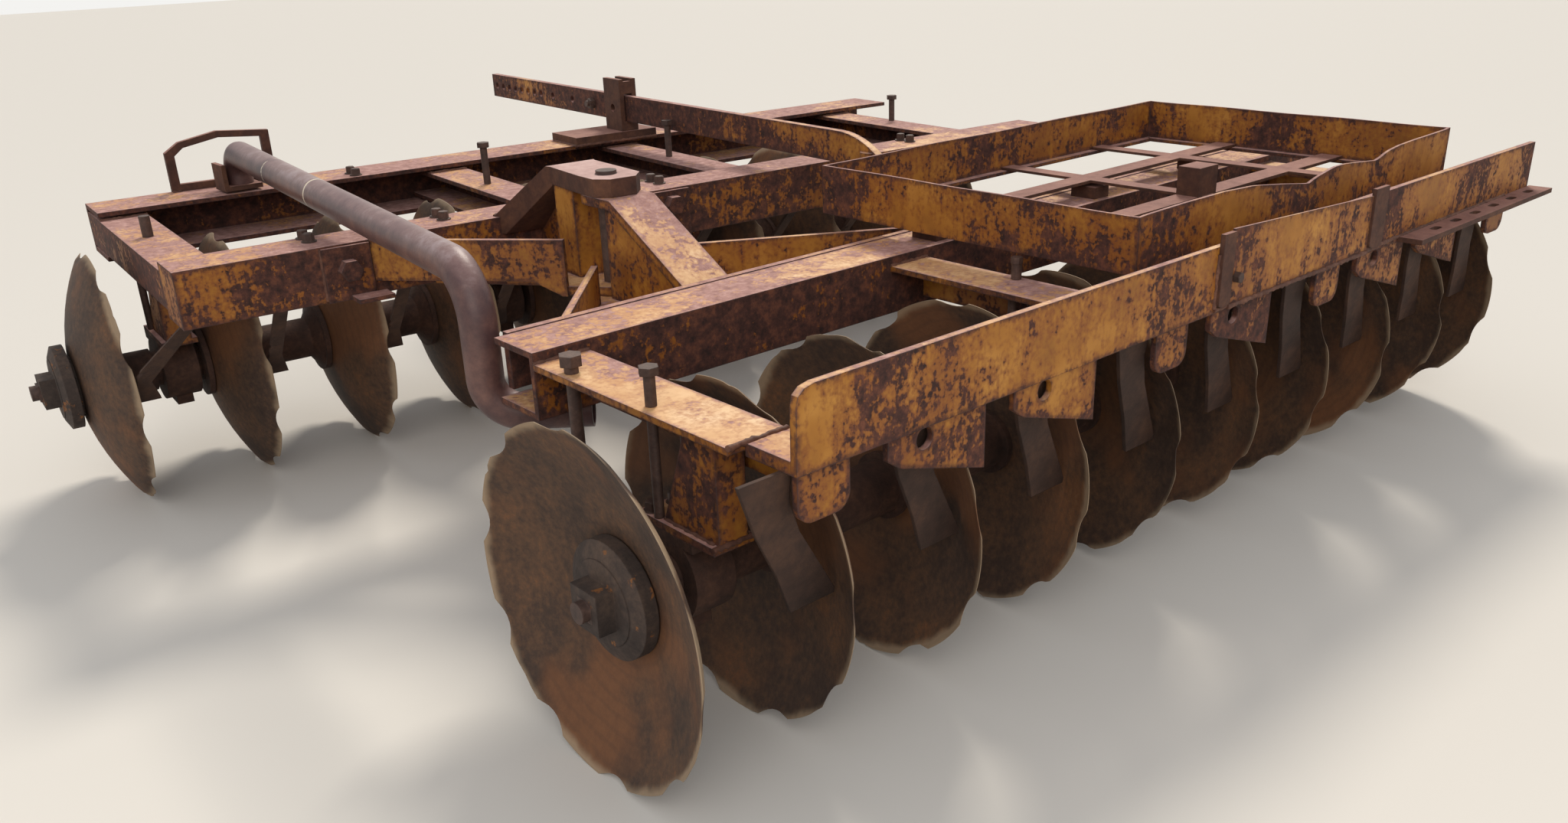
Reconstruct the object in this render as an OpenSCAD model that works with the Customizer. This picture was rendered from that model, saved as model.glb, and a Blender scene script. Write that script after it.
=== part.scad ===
// Offset disc harrow: two gangs of scalloped, dished discs under two steel frames
// that swing on one kingpin. X runs along the rear gang, Y points the way the
// harrow is towed, Z is up and the ground is at zero.

/* [Gangs] */
// Diameter of a disc blade
disc_d = 634; // [600:1:650]
// Depth of the dish, rim to hub
disc_dish = 90; // [80:1:100]
// Thickness of a blade
disc_t = 6; // [5:0.5:8]
// Blades on each gang
disc_count = 10; // [8:1:10]
// Distance from one blade to the next
pitch = 305; // [290:1:310]
// Shallow notches round a blade
notch_count = 10; // [8:1:11]
// Depth of a notch
notch_depth = 13; // [8:1:18]
// Side of the square gang axle
axle_side = 40; // [36:1:44]
// Outside diameter of a spool between two blades
spool_d = 108; // [100:1:120]
// Diameter of the bell of a spool, against a blade's back
bell_d = 190; // [170:1:200]
// Diameter of the journal inside a bearing
journal_d = 90; // [80:1:96]
// Outside diameter of a bearing housing
housing_d = 164; // [150:1:176]

/* [Frames] */
// Height of the rear frame's main beam above the ground
rail_top = 636; // [626:1:660]
// How much higher the front frame stands
front_rise = 45; // [30:1:60]
// Clear length of both frames past the first bearing gap
frame_end = 226; // [180:1:260]
// Thickness of beam flanges and webs
plate_t = 12; // [9:1:14]
// Height of a beam
beam_h = 130; // [122:1:140]
// Width of the rear frame's main beam
rear_beam_w = 135; // [120:1:150]
// Rear frame, from its angle iron to the main beam's front edge
rear_depth = 688; // [670:1:700]
// Width of the front frame's rear beam
front_beam_w = 136; // [120:1:150]
// Width of the front frame's leading beam
lead_beam_w = 176; // [160:1:180]
// Front frame, from back edge to front edge
front_depth = 1005; // [985:1:1020]
// Width of a cross-member
cross_w = 119; // [110:1:126]
// Height of a cross-member
cross_h = 90; // [80:1:96]
// Step from a beam's top down to the cross-members
cross_step = 21; // [18:1:26]
// Angle of the front gang to the rear gang, parked
front_yaw = -4.46; // [-5:0.1:-3]

/* [Hinge] */
// Distance of the kingpin in front of the main beam
king_ahead = 380; // [370:1:395]
// Diameter of the kingpin
king_d = 50; // [46:1:56]
// Running clearance round the kingpin, on the radius
king_gap = 0.05; // [0.03:0.01:0.1]
// Thickness of the front frame's upper lug
lug_t = 41; // [36:1:46]
// Thickness of the other lug plates
hinge_plate_t = 21; // [18:1:22]
// Height of the upper lug's top above the main beam
lug_top = 182; // [176:1:190]

/* [Weight tray] */
// Length of the tray
tray_l = 1387; // [1300:1:1420]
// Width of the tray
tray_w = 897; // [860:1:910]
// Height of the tray's wall
tray_h = 118; // [95:1:125]
// Gap under the tray, above the cross-members
tray_lift = 51; // [44:1:60]

/* [Angle bar] */
// Length of the bar
bar_l = 2295; // [2200:1:2350]
// Height of the bar
bar_h = 82; // [76:1:90]
// Thickness of the bar
bar_t = 22; // [18:1:24]
// Distance between the close holes
hole_pitch = 53; // [50:1:55]
// Diameter of a hole in the bar
hole_d = 24; // [22:1:26]

/* [Pipe brace] */
// Outside diameter of the pipe
pipe_d = 73; // [66:1:76]
// Wall of the pipe
pipe_wall = 6; // [4:0.5:8]

/* [Hidden] */
$fn = 48;
weld = 0.5;
blade_r = disc_d / 2;
dish_r = (blade_r * blade_r + disc_dish * disc_dish) / (2 * disc_dish);
flat_r = 76;
flat_at = dish_r - sqrt(dish_r * dish_r - flat_r * flat_r);
axle_z = blade_r;
fit_gap = 0.2;

// bearings sit in four of the gaps between blades
bearing_gaps = [0, floor(disc_count / 2) - 2, floor(disc_count / 2), disc_count - 2];
all_gaps = [for (i = [0 : disc_count - 2]) i];
plain_gaps = [for (i = all_gaps) if (len(search(i, bearing_gaps)) == 0) i];
first_gap_x = 59;
rear_hub_x = -63.5;
front_hub_x = -175;
function gap_x(g) = first_gap_x + pitch * g;
function cross_x(g) = max(gap_x(g), cross_w / 2);
frame_l = gap_x(disc_count - 2) + frame_end + 15;

// rear frame, Y measured forward from the back of the cross-members
angle_back = -90;
angle_t = 14;
angle_up = 115;
angle_leaf_t = 22;
angle_end = frame_l - 50;
angle_lap = 12;
rear_beam_back = rear_depth + angle_lap - rear_beam_w;
rear_beam_front = rear_depth + angle_lap;
rear_axle_y = 217;
face_plate_t = 18;
face_plate_h = 110;
cross_top = rail_top - cross_step;

// kingpin, in the rear frame's own coordinates
king_x = 523;
king_y = rear_beam_front + king_ahead;
lug_r = 61;

// front frame, placed by the kingpin
front_top = rail_top + front_rise;
front_king_x = 876;
front_king_y = -387;
front_back = -36;
front_axle_y = 526;
lead_beam_back = front_back + front_depth - lead_beam_w;
lead_beam_front = front_back + front_depth;
front_cross_top = front_top - cross_step;

// tray
tray_x = 1032;
tray_y = 13;
tray_t = 9;
tray_z = cross_top + tray_lift;

// angle bar, in the front frame's coordinates
bar_x = front_king_x + 744;
bar_back = -480;
bar_z = rail_top + 101;
bar_gap = 4;
guide_y = 841;
guide_l = 104;
guide_base_t = 26;
cheek_t = 16;
stop_hole_y = 1008;
eye_d = 28;
eye_y = bar_back + 46;
eye_slot_side = 9;

// middle of the footprint
origin_x = 1113;
origin_y = 1528;

// placing
module rear() {
    translate([-origin_x, -origin_y, 0]) children();
}

module front() {
    rear() translate([king_x, king_y, 0]) rotate([0, 0, front_yaw])
        translate([-front_king_x, -front_king_y, 0]) children();
}

module block(x0, x1, y0, y1, z0, z1) {
    translate([x0, y0, z0]) cube([x1 - x0, y1 - y0, z1 - z0]);
}

// outline drawn in Y and Z, pushed along X
module side_plate(x0, x1) {
    translate([x0, 0, 0]) rotate([90, 0, 90]) linear_extrude(x1 - x0) children();
}

// outline drawn in X and Z, pushed along Y
module face_plate(y0, y1) {
    translate([0, y1, 0]) rotate([90, 0, 0]) linear_extrude(y1 - y0) children();
}

// channel along X with its web at the back or at the front
module channel(len, y0, y1, top, web_at_back) {
    web_y = web_at_back ? y0 : y1 - plate_t;
    block(0, len, y0, y1, top - plate_t, top);
    block(0, len, y0, y1, top - beam_h, top - beam_h + plate_t);
    block(0, len, web_y, web_y + plate_t, top - beam_h, top);
}

// upright plate from one point of the plan to another
module upright(a, b, t, z0, z1) {
    d = b - a;
    translate([a[0], a[1], z0]) rotate([0, 0, atan2(d[1], d[0])])
        translate([0, -t / 2, 0]) cube([norm(d), t, z1 - z0]);
}

// hexagon bolt standing up: shank from z0 to z1 with its head on top
module long_bolt(x, y, z0, z1, d, head_d, head_h) {
    translate([x, y, z0]) cylinder(h = z1 - z0, d = d);
    translate([x, y, z1 - head_h]) cylinder(h = head_h, d = head_d, $fn = 6);
}

// gangs
module blade_outline() {
    notch_r = 84;
    difference() {
        circle(r = blade_r + 1, $fn = 96);
        for (i = [0 : notch_count - 1]) rotate(i * 360 / notch_count)
            translate([blade_r + notch_r - notch_depth, 0]) circle(r = notch_r);
    }
}

// one blade, hub face at zero and the rim towards +Z
module blade(turn) {
    intersection() {
        union() {
            rotate_extrude($fn = 96) intersection() {
                difference() {
                    translate([0, dish_r - flat_at]) circle(r = dish_r, $fn = 360);
                    translate([0, dish_r - flat_at]) circle(r = dish_r - disc_t, $fn = 360);
                }
                translate([flat_r - 2, 0]) square([blade_r - flat_r + 2, disc_dish + disc_t]);
            }
            cylinder(h = disc_t, r = flat_r);
        }
        difference() {
            rotate([0, 0, turn]) translate([0, 0, -disc_t])
                linear_extrude(disc_dish + 3 * disc_t) blade_outline();
            translate([0, 0, disc_t / 2])
                cube([axle_side + 2 * fit_gap, axle_side + 2 * fit_gap, 4 * disc_t], center = true);
        }
    }
}

// a row of blades: side is 1 where they open towards +X and -1 towards -X
module blades(side, hub_x) {
    for (k = [0 : disc_count - 1])
        translate([hub_x + pitch * k, 0, axle_z]) rotate([0, 90 * side, 0])
            blade(18 + 47 * k + 10 * side);
}

// the hub plates of neighbouring blades are one pitch apart
bell_t = 14;
module spools(side, hub_x) {
    for (g = all_gaps) {
        x0 = hub_x + pitch * g + (side > 0 ? disc_t : 0);
        l = pitch - disc_t;
        translate([x0, 0, axle_z]) rotate([0, 90, 0]) difference() {
            if (side > 0) translate([0, 0, l]) mirror([0, 0, 1])
                spool(l, x0 + l - gap_x(g), len(search(g, bearing_gaps)) > 0);
            else
                spool(l, gap_x(g) - x0, len(search(g, bearing_gaps)) > 0);
            translate([0, 0, l / 2]) axle_hole(2 * l);
        }
    }
}

module axle_hole(l) {
    cube([axle_side + 2 * fit_gap, axle_side + 2 * fit_gap, l], center = true);
}

// cast spool, its bell at zero; mid is where the bearing sits
module spool(l, mid, in_bearing) {
    half = 55;
    cylinder(h = bell_t, d = bell_d);
    translate([0, 0, l - bell_t]) cylinder(h = bell_t, d = spool_d + 26);
    if (in_bearing) {
        cylinder(h = l, d = journal_d);
        cylinder(h = mid - half, d = spool_d);
        translate([0, 0, mid + half]) cylinder(h = l - mid - half, d = spool_d);
    } else {
        cylinder(h = l, d = spool_d);
        translate([0, 0, bell_t]) cylinder(h = 22, d1 = bell_d - 16, d2 = spool_d);
    }
}

bumper_t = 46;
bumper_d = 212;
bumper_face_d = 166;
nut_t = 34;
nut_w = 74;
axle_tail = bumper_t + nut_t;

module axle(hub_x) {
    x0 = hub_x - disc_t - axle_tail;
    x1 = hub_x + pitch * (disc_count - 1) + disc_t + axle_tail;
    block(x0, x1, -axle_side / 2, axle_side / 2, axle_z - axle_side / 2, axle_z + axle_side / 2);
    translate([x0 - 15, 0, axle_z]) rotate([0, 90, 0]) cylinder(h = x1 - x0 + 30, d = axle_side - 2);
}

// heavy round end casting and square nut at each end of the axle
module end_nuts(side, hub_x) {
    lead = side > 0 ? disc_t : 0;
    for (e = [[hub_x + lead - disc_t, -1], [hub_x + pitch * (disc_count - 1) + lead, 1]])
        translate([e[0], 0, axle_z]) rotate([0, 90 * e[1], 0]) difference() {
            union() {
                cylinder(h = bumper_t, r = flat_r);
                translate([0, 0, 8]) cylinder(h = 26, d = bumper_d);
                translate([0, 0, 34]) cylinder(h = bumper_t - 36, d1 = bumper_d, d2 = bumper_face_d);
                translate([-nut_w / 2, -nut_w / 2, bumper_t]) cube([nut_w, nut_w, nut_t]);
            }
            axle_hole(4 * axle_tail);
        }
}

// bearings hang from the cross-members on welded standards
housing_l = 84;
pad_t = 18;
pad_w = 150;
pad_z = axle_z + housing_d / 2 + 2;

module bearings() {
    for (g = bearing_gaps)
        translate([gap_x(g), 0, 0]) difference() {
            union() {
                translate([-housing_l / 2, 0, axle_z]) rotate([0, 90, 0])
                    cylinder(h = housing_l, d = housing_d);
                block(-housing_l / 2, housing_l / 2, -pad_w / 2, pad_w / 2, pad_z - pad_t, pad_z);
                block(-housing_l / 2 + 14, housing_l / 2 - 14, -pad_w / 2 + 24, pad_w / 2 - 24,
                    axle_z, pad_z - 1);
                block(-20, 20, -34, 34, axle_z - housing_d / 2 - 16, axle_z);
            }
            translate([-housing_l, 0, axle_z]) rotate([0, 90, 0])
                cylinder(h = 2 * housing_l, d = journal_d + 2 * king_gap);
        }
}

foot_t = 14;
foot_top = pad_z + foot_t;
standard_back = -122;
module standards(top) {
    z0 = foot_top - weld;
    flange_y = standard_back - plate_t;
    narrow = -60;
    for (g = bearing_gaps) translate([gap_x(g), 0, 0]) {
        block(-housing_l / 2, housing_l / 2, flange_y, pad_w / 2, pad_z, foot_top);
        for (x = [-30, 18]) side_plate(x, x + plate_t)
            polygon([[standard_back - 1, z0], [12, z0], [narrow, top], [standard_back - 1, top]]);
        block(-30, 30, flange_y, standard_back, z0, top);
    }
}

// clamping rods beside the standards, from the pads up to the cross-members
rod_aside = 32;
rod_y = 25;
rod_d = 18;
module pad_rods(top) {
    for (g = bearing_gaps, e = [-1, 1])
        translate([gap_x(g) + e * rod_aside, rod_y, foot_top])
            cylinder(h = top - foot_top, d = rod_d);
}

// scrapers hang from the frame and lean into the dish of a blade, close to it
scraper_gap = 7;
scraper_t = 8;

// origin at the axle, the blade's hub face at x = 0 and its dish towards +X;
// top and foot are the plate's upper and lower ends in Y and Z
module scraper(top, foot) {
    l = norm(foot - top);
    lean = atan2(foot[0] - top[0], top[1] - foot[1]);
    along = top * (foot - top) / l;
    // how far down the plate it comes inside the blade's rim
    rim_at = -along - sqrt(along * along - top * top + pow(blade_r + scraper_gap + scraper_t, 2));
    intersection() {
        scraper_plate(top, lean, -rim_at, 20) children();
        translate([0, top[0] - 100, top[1] - 2 * l]) cube([2 * pitch, 3 * l, 2 * l]);
    }
    intersection() {
        scraper_plate(top, lean, -l - 1, 1 - rim_at) children();
        translate([dish_r - flat_at, 0, 0]) sphere(r = dish_r - disc_t - scraper_gap, $fn = 180);
    }
}

// the part of a leaning plate between two heights, measured along it from its upper end
module scraper_plate(top, lean, z0, z1) {
    translate([disc_dish, top[0], top[1]]) rotate([lean, 0, 0]) intersection() {
        face_plate(-scraper_t / 2, scraper_t / 2) children();
        translate([-pitch, -scraper_t, z0]) cube([2 * pitch, 2 * scraper_t, z1 - z0]);
    }
}

// the front frame's are channels, the first with its web outside; the rear frame's are angles
module cross_members(y0, y1, top, front_frame) {
    for (g = bearing_gaps) translate([cross_x(g), 0, 0]) {
        web_x = front_frame && g == 0 ? -cross_w / 2 : cross_w / 2 - plate_t;
        block(-cross_w / 2, cross_w / 2, y0, y1, top - plate_t, top);
        if (front_frame)
            block(-cross_w / 2, cross_w / 2, y0, y1, top - cross_h, top - cross_h + plate_t);
        block(web_x, web_x + plate_t, y0, y1, top - cross_h, top);
    }
}

// front frame
module front_rear_beam() {
    y1 = front_back + front_beam_w;
    color("goldenrod") front() {
        channel(frame_l, front_back, y1, front_top, true);
        block(0, plate_t, front_back, y1, front_top - beam_h, front_top);
    }
}

module front_lead_beam() {
    color("goldenrod") front() channel(frame_l, lead_beam_back, lead_beam_front, front_top, false);
}

module front_cross_members() {
    color("goldenrod") front()
        difference() {
            cross_members(front_back + plate_t, lead_beam_front - plate_t, front_cross_top, true);
            block(-1, plate_t, front_back, front_back + front_beam_w, 0, front_top);
        }
}

module front_standards() {
    color("goldenrod") front() translate([0, front_axle_y, 0])
        standards(front_cross_top - cross_h);
}

module front_bearings() {
    color("saddlebrown") front() translate([0, front_axle_y, 0]) bearings();
}

scraper_foot = [-226, -6];
module front_scrapers() {
    top = [front_back + front_beam_w - 26 - front_axle_y, front_top - beam_h - axle_z];
    l = norm(scraper_foot - top);
    color("saddlebrown") front() for (k = all_gaps)
        translate([front_hub_x + pitch * k, front_axle_y, axle_z]) scraper(top, scraper_foot)
            polygon([[38, 8], [38, -0.74 * l], [60, -l], [-42, -l], [6, -0.74 * l], [6, 8]]);
}

lug_bend_y = front_king_y + 169;
module front_lug() {
    slope_y = lug_bend_y + 6;
    foot_y = front_back + 20;
    z1 = rail_top + lug_top;
    z0 = z1 - lug_t;
    foot = front_top;
    color("saddlebrown") front() difference() {
        intersection() {
            side_plate(front_king_x - 200, front_king_x + 200)
                polygon([[front_king_y - 90, z0], [lug_bend_y, z0], [front_back - 14, foot - lug_t],
                    [front_back, foot - lug_t], [front_back, foot], [foot_y, foot],
                    [slope_y + 14, z1], [front_king_y - 90, z1]]);
            linear_extrude(z1 + 10) polygon([[front_king_x - 122, foot_y], [front_king_x - 52, slope_y],
                [front_king_x - 60, front_king_y + 20], [front_king_x - 58, front_king_y - 42],
                [front_king_x - 30, front_king_y - 72], [front_king_x + 34, front_king_y - 74],
                [front_king_x + 66, front_king_y - 36], [front_king_x + 68, slope_y],
                [front_king_x + 122, foot_y]]);
        }
        translate([front_king_x, front_king_y, z0 - 1])
            cylinder(h = lug_t + 2, d = king_d + 2 * king_gap);
    }
}

// heights of the stacked lugs
lower_lug_top = rail_top - 66;
lower_lug_bottom = lower_lug_top - hinge_plate_t;
rear_low_top = lower_lug_bottom - 1;
rear_low_bottom = rear_low_top - hinge_plate_t;
upper_gap_z = rail_top + lug_top - lug_t;
leg_t = 15;

// upright leg from the beam to the lug, deeper at the lug
module front_leg(a, b) {
    d = b - a;
    l = norm(d);
    z0 = front_top - 97;
    translate([a[0], a[1], 0]) rotate([0, 0, atan2(d[1], d[0])]) face_plate(-leg_t / 2, leg_t / 2)
        polygon([[0, z0], [l - 80, z0], [l - 12, lower_lug_bottom], [l, lower_lug_bottom],
            [l, front_top], [0, front_top]]);
}

module front_a_frame() {
    color("goldenrod") front() difference() {
        union() {
            for (e = [[-442, -112], [300, 112]])
                front_leg([front_king_x + e[0], front_back], [front_king_x + e[1], front_king_y + 22]);
            translate([0, 0, lower_lug_bottom]) linear_extrude(hinge_plate_t)
                polygon([[front_king_x - 300, front_back], [front_king_x - 112, front_king_y + 140],
                    [front_king_x - 114, front_king_y + 26], [front_king_x - 62, front_king_y - 20],
                    [front_king_x + 62, front_king_y - 20], [front_king_x + 114, front_king_y + 26],
                    [front_king_x + 112, front_king_y + 140], [front_king_x + 300, front_back]]);
            translate([front_king_x, front_king_y, lower_lug_bottom]) cylinder(h = hinge_plate_t, r = 66);
            for (x = [-50, 38]) block(front_king_x + x, front_king_x + x + plate_t,
                front_king_y + 76, lug_bend_y, lower_lug_top - 1, upper_gap_z);
            block(front_king_x - 50, front_king_x + 50, front_king_y + 76, front_king_y + 88,
                lower_lug_top - 1, upper_gap_z);
            side_plate(front_king_x - 6, front_king_x + 6) polygon([[front_king_y + 86, lower_lug_top - 1],
                [front_back, lower_lug_top - 1], [front_back, front_top - lug_t],
                [front_back - 14, front_top - lug_t], [lug_bend_y, upper_gap_z],
                [front_king_y + 86, upper_gap_z]]);
        }
        translate([front_king_x, front_king_y, 0])
            cylinder(h = front_top, d = king_d + 2 * king_gap);
        block(0, frame_l, front_back, front_back + 20, 0, front_top + 1);
    }
}

module kingpin() {
    z1 = rail_top + lug_top;
    color("dimgray") rear() translate([king_x, king_y, 0]) {
        translate([0, 0, rear_low_bottom - 26]) cylinder(h = z1 - rear_low_bottom + 27, d = king_d);
        translate([0, 0, z1]) cylinder(h = 8, d = king_d - 2);
        translate([0, 0, rear_low_bottom - 20]) cylinder(h = 18, d = king_d + 28);
    }
}

// bolts standing up on the cross-members: bearing gap, place across and along, height
front_studs = [[bearing_gaps[1], -2, -22, 118], [bearing_gaps[2], 0, -30, 112],
    [bearing_gaps[3], 44, 2, 88]];
module front_long_bolts() {
    color("gray") front() {
        for (s = front_studs) long_bolt(cross_x(s[0]) + s[1], front_axle_y + s[2], front_cross_top,
            front_cross_top + s[3], 20, 36, 14);
        translate([cross_x(0), front_axle_y - 30, front_cross_top]) cylinder(h = 52, d = 26);
        translate([0, front_axle_y, 0]) pad_rods(front_cross_top - cross_h);
    }
}

// strap loop on the leading beam
module bail() {
    y0 = lead_beam_front - 18;
    y1 = lead_beam_front;
    z0 = front_top;
    color("saddlebrown") front() face_plate(y0, y1) difference() {
        polygon([[222, z0], [222, z0 + 108], [262, z0 + 134], [368, z0 + 154], [510, z0 + 142],
            [510, z0]]);
        polygon([[246, z0 + 20], [246, z0 + 98], [272, z0 + 118], [370, z0 + 136], [486, z0 + 126],
            [486, z0 + 20]]);
    }
}

module guide_base() {
    color("saddlebrown") front() block(bar_x - 208, bar_x + 92, guide_y - 62, lead_beam_front - 20,
        front_top, front_top + guide_base_t);
}

guide_top = rail_top + 236;
lock_y = guide_y;
module guide_cheeks() {
    z0 = front_top + guide_base_t;
    half = bar_t / 2 + bar_gap;
    color("saddlebrown") front() difference() {
        union() {
            for (s = [-1, 1]) translate([bar_x + s * (half + cheek_t / 2), guide_y, z0])
                translate([-cheek_t / 2, -guide_l / 2, 0]) cube([cheek_t, guide_l, guide_top - z0]);
            for (y = [guide_y - guide_l / 2, guide_y + guide_l / 2 - 14])
                block(bar_x - half - 1, bar_x + half + 1, y, y + 14, bar_z + bar_h + 6, guide_top - 8);
            block(bar_x - half - 1, bar_x + half + 1, guide_y - guide_l / 2, guide_y + guide_l / 2,
                z0, bar_z - 0.3);
        }
        translate([bar_x - 100, lock_y, bar_z + bar_h / 2]) rotate([0, 90, 0])
            cylinder(h = 200, d = hole_d + 2);
    }
}

// pads with a bolt head on the beam's back face, and the short ledge below the first;
// each pad's middle is measured from the kingpin, each bolt's height from the beam's top
pad_places = [[-504, 58], [377, 41]];
pad_half = 56;
module front_face_plates() {
    y1 = front_back - 10;
    color("goldenrod") front() {
        for (p = pad_places) translate([front_king_x + p[0], 0, 0]) {
            block(-pad_half, pad_half, y1, front_back, front_top - beam_h, front_top - 4);
            translate([0, y1 + 1, front_top - p[1]]) rotate([90, 0, 0])
                cylinder(h = 27, d = 52, $fn = 6);
        }
        translate([front_king_x + pad_places[0][0], 0, front_top - beam_h])
            block(-4, pad_half + 24, y1 - 54, y1, 0, 10);
    }
}

module front_discs() {
    color("sienna") front() translate([0, front_axle_y, 0]) blades(1, front_hub_x);
}

module front_spools() {
    color("saddlebrown") front() translate([0, front_axle_y, 0]) spools(1, front_hub_x);
}

module front_axle() {
    color("dimgray") front() translate([0, front_axle_y, 0]) axle(front_hub_x);
}

module front_end_nuts() {
    color("saddlebrown") front() translate([0, front_axle_y, 0]) end_nuts(1, front_hub_x);
}

// angle bar, with its rear end cut on a long curve
bar_end_r = 300;
module angle_bar() {
    bar_mid = bar_z + bar_h / 2;
    last = bar_back + bar_l - 38;
    holes = concat([for (i = [0 : 7]) last - i * hole_pitch], [last - 465, last - 614]);
    color("saddlebrown") front() {
        difference() {
            block(bar_x - bar_t / 2, bar_x + bar_t / 2, bar_back, bar_back + bar_l, bar_z, bar_z + bar_h);
            for (y = holes) translate([bar_x - 50, y, bar_mid]) rotate([0, 90, 0])
                cylinder(h = 100, d = hole_d);
            translate([bar_x - 50, stop_hole_y, bar_mid]) rotate([0, 90, 0])
                cylinder(h = 100, d = 20 + 2 * fit_gap);
            side_plate(bar_x - 50, bar_x + 50) difference() {
                translate([bar_back - 10, bar_z]) square([176, 200]);
                translate([bar_back + 168, bar_z + bar_h - bar_end_r]) circle(r = bar_end_r, $fn = 180);
            }
        }
        translate([bar_x, eye_y, bar_z - 96]) cylinder(h = 98, d = eye_d);
        translate([bar_x, eye_y, bar_z]) cylinder(h = 40, d = 52);
    }
}

module stop_bolt() {
    bar_mid = bar_z + bar_h / 2;
    color("dimgray") front() translate([bar_x, stop_hole_y, bar_mid]) rotate([0, 90, 0]) {
        translate([0, 0, -bar_t / 2 - 30]) cylinder(h = bar_t + 44, d = 20);
        translate([0, 0, -bar_t / 2 - 20]) cylinder(h = 20, d = 34, $fn = 6);
        translate([0, 0, bar_t / 2]) cylinder(h = 14, d = 34, $fn = 6);
    }
}

// rear frame
module rear_beam() {
    color("goldenrod") rear() channel(frame_l, rear_beam_back, rear_beam_front, rail_top, true);
}

module rear_face_plate() {
    color("goldenrod") rear() block(28, frame_l, rear_beam_front, rear_beam_front + face_plate_t,
        rail_top - face_plate_h, rail_top + 2);
}

module rear_angle() {
    back = angle_back - angle_t;
    z0 = cross_top - angle_leaf_t;
    z1 = cross_top + angle_up;
    color("goldenrod") rear() {
        block(34, angle_end, angle_back, angle_lap, z0, cross_top);
        face_plate(back, angle_back) polygon([[34, z0], [36, z1 - 30], [40, z1 - 14], [52, z1 - 4],
            [72, z1], [angle_end, z1 - 7], [angle_end, z0]]);
    }
}

module rear_cross_members() {
    color("goldenrod") rear() cross_members(angle_lap, rear_beam_back, cross_top, false);
}

module rear_standards() {
    color("goldenrod") rear() translate([0, rear_axle_y, 0]) standards(cross_top - plate_t);
}

module rear_bearings() {
    color("saddlebrown") rear() translate([0, rear_axle_y, 0]) bearings();
}

// rounded tabs over the bearings and cut-off brackets between them, behind the angle
leaf_under = cross_top - angle_leaf_t;
module rear_tabs() {
    r = 30;
    w = 107;
    z0 = leaf_under - 89;
    color("goldenrod") rear() for (g = bearing_gaps) translate([gap_x(g) - 13, 0, 0])
        face_plate(angle_back, angle_back + plate_t) union() {
            translate([0, z0 + r]) square([w, leaf_under - z0 - r]);
            translate([r, z0]) square([w - 2 * r, 2 * r]);
            for (x = [r, w - r]) translate([x, z0 + r]) circle(r = r);
        }
}

module rear_brackets() {
    color("goldenrod") rear() for (g = plain_gaps) translate([gap_x(g), 0, leaf_under])
        face_plate(angle_back, angle_back + plate_t) difference() {
            polygon([[-129, 0], [-129, -42], [-100, -62], [-14, -88], [102, -123], [102, 0]]);
            translate([-46, -26]) circle(d = 38);
        }
}

module rear_scrapers() {
    top = [angle_back + 22 - rear_axle_y, leaf_under - axle_z];
    l = norm(scraper_foot - top);
    color("saddlebrown") rear() for (k = all_gaps)
        translate([rear_hub_x + pitch * (k + 1), rear_axle_y, axle_z]) mirror([1, 0, 0])
            scraper(top, scraper_foot) polygon([[205, 8], [155, -0.36 * l], [100, -0.7 * l], [60, -l],
                [-42, -l], [15, -0.7 * l], [66, -0.43 * l], [96, -0.2 * l], [100, 8]]);
}

rear_lug_top = upper_gap_z - 0.5;
rear_lug_under = rear_lug_top - hinge_plate_t;
rear_bend_y = king_y - 89;
rear_foot_y = rear_beam_front + face_plate_t;
rear_foot_z = rail_top - 37;
foot_z = rail_top + 2;
module rear_lug() {
    z1 = rear_lug_top;
    z0 = rear_lug_under;
    color("goldenrod") rear() difference() {
        union() {
            side_plate(king_x - lug_r, king_x + lug_r)
                polygon([[rear_foot_y, rear_foot_z], [rear_bend_y, z0], [king_y, z0], [king_y, z1],
                    [rear_bend_y - 6, z1], [rear_foot_y, rear_foot_z + 25]]);
            translate([king_x, king_y, z0]) cylinder(h = hinge_plate_t, r = lug_r);
        }
        translate([king_x, king_y, z0 - 1]) cylinder(h = hinge_plate_t + 2, d = king_d + 2 * king_gap);
    }
}

module rear_a_frame() {
    y0 = rear_beam_front + face_plate_t;
    z_top = rail_top;
    web_y = king_y - 62;
    color("goldenrod") rear() difference() {
        union() {
            upright([king_x - 357, y0], [king_x - 99, king_y - 73], leg_t, rear_low_bottom, z_top);
            upright([king_x + 662, y0], [king_x + 124, king_y - 42], leg_t, rear_low_bottom, z_top);
            translate([0, 0, rear_low_bottom]) linear_extrude(hinge_plate_t)
                polygon([[king_x - 357, y0], [king_x - 104, king_y - 76], [king_x - 62, king_y],
                    [king_x + 62, king_y], [king_x + 130, king_y - 50], [king_x + 500, y0]]);
            translate([king_x, king_y, rear_low_bottom]) cylinder(h = hinge_plate_t, r = lug_r);
            for (x = [king_x - lug_r + 8, king_x + lug_r - 20]) side_plate(x, x + plate_t)
                polygon([[y0, rear_low_bottom], [web_y, rear_low_bottom], [web_y, rear_lug_under],
                    [rear_bend_y, rear_lug_under], [y0, rear_foot_z]]);
        }
        translate([king_x, king_y, 0]) cylinder(h = rail_top, d = king_d + 2 * king_gap);
        block(0, frame_l, y0 - 20, y0, 0, rail_top + 1);
    }
}

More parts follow.
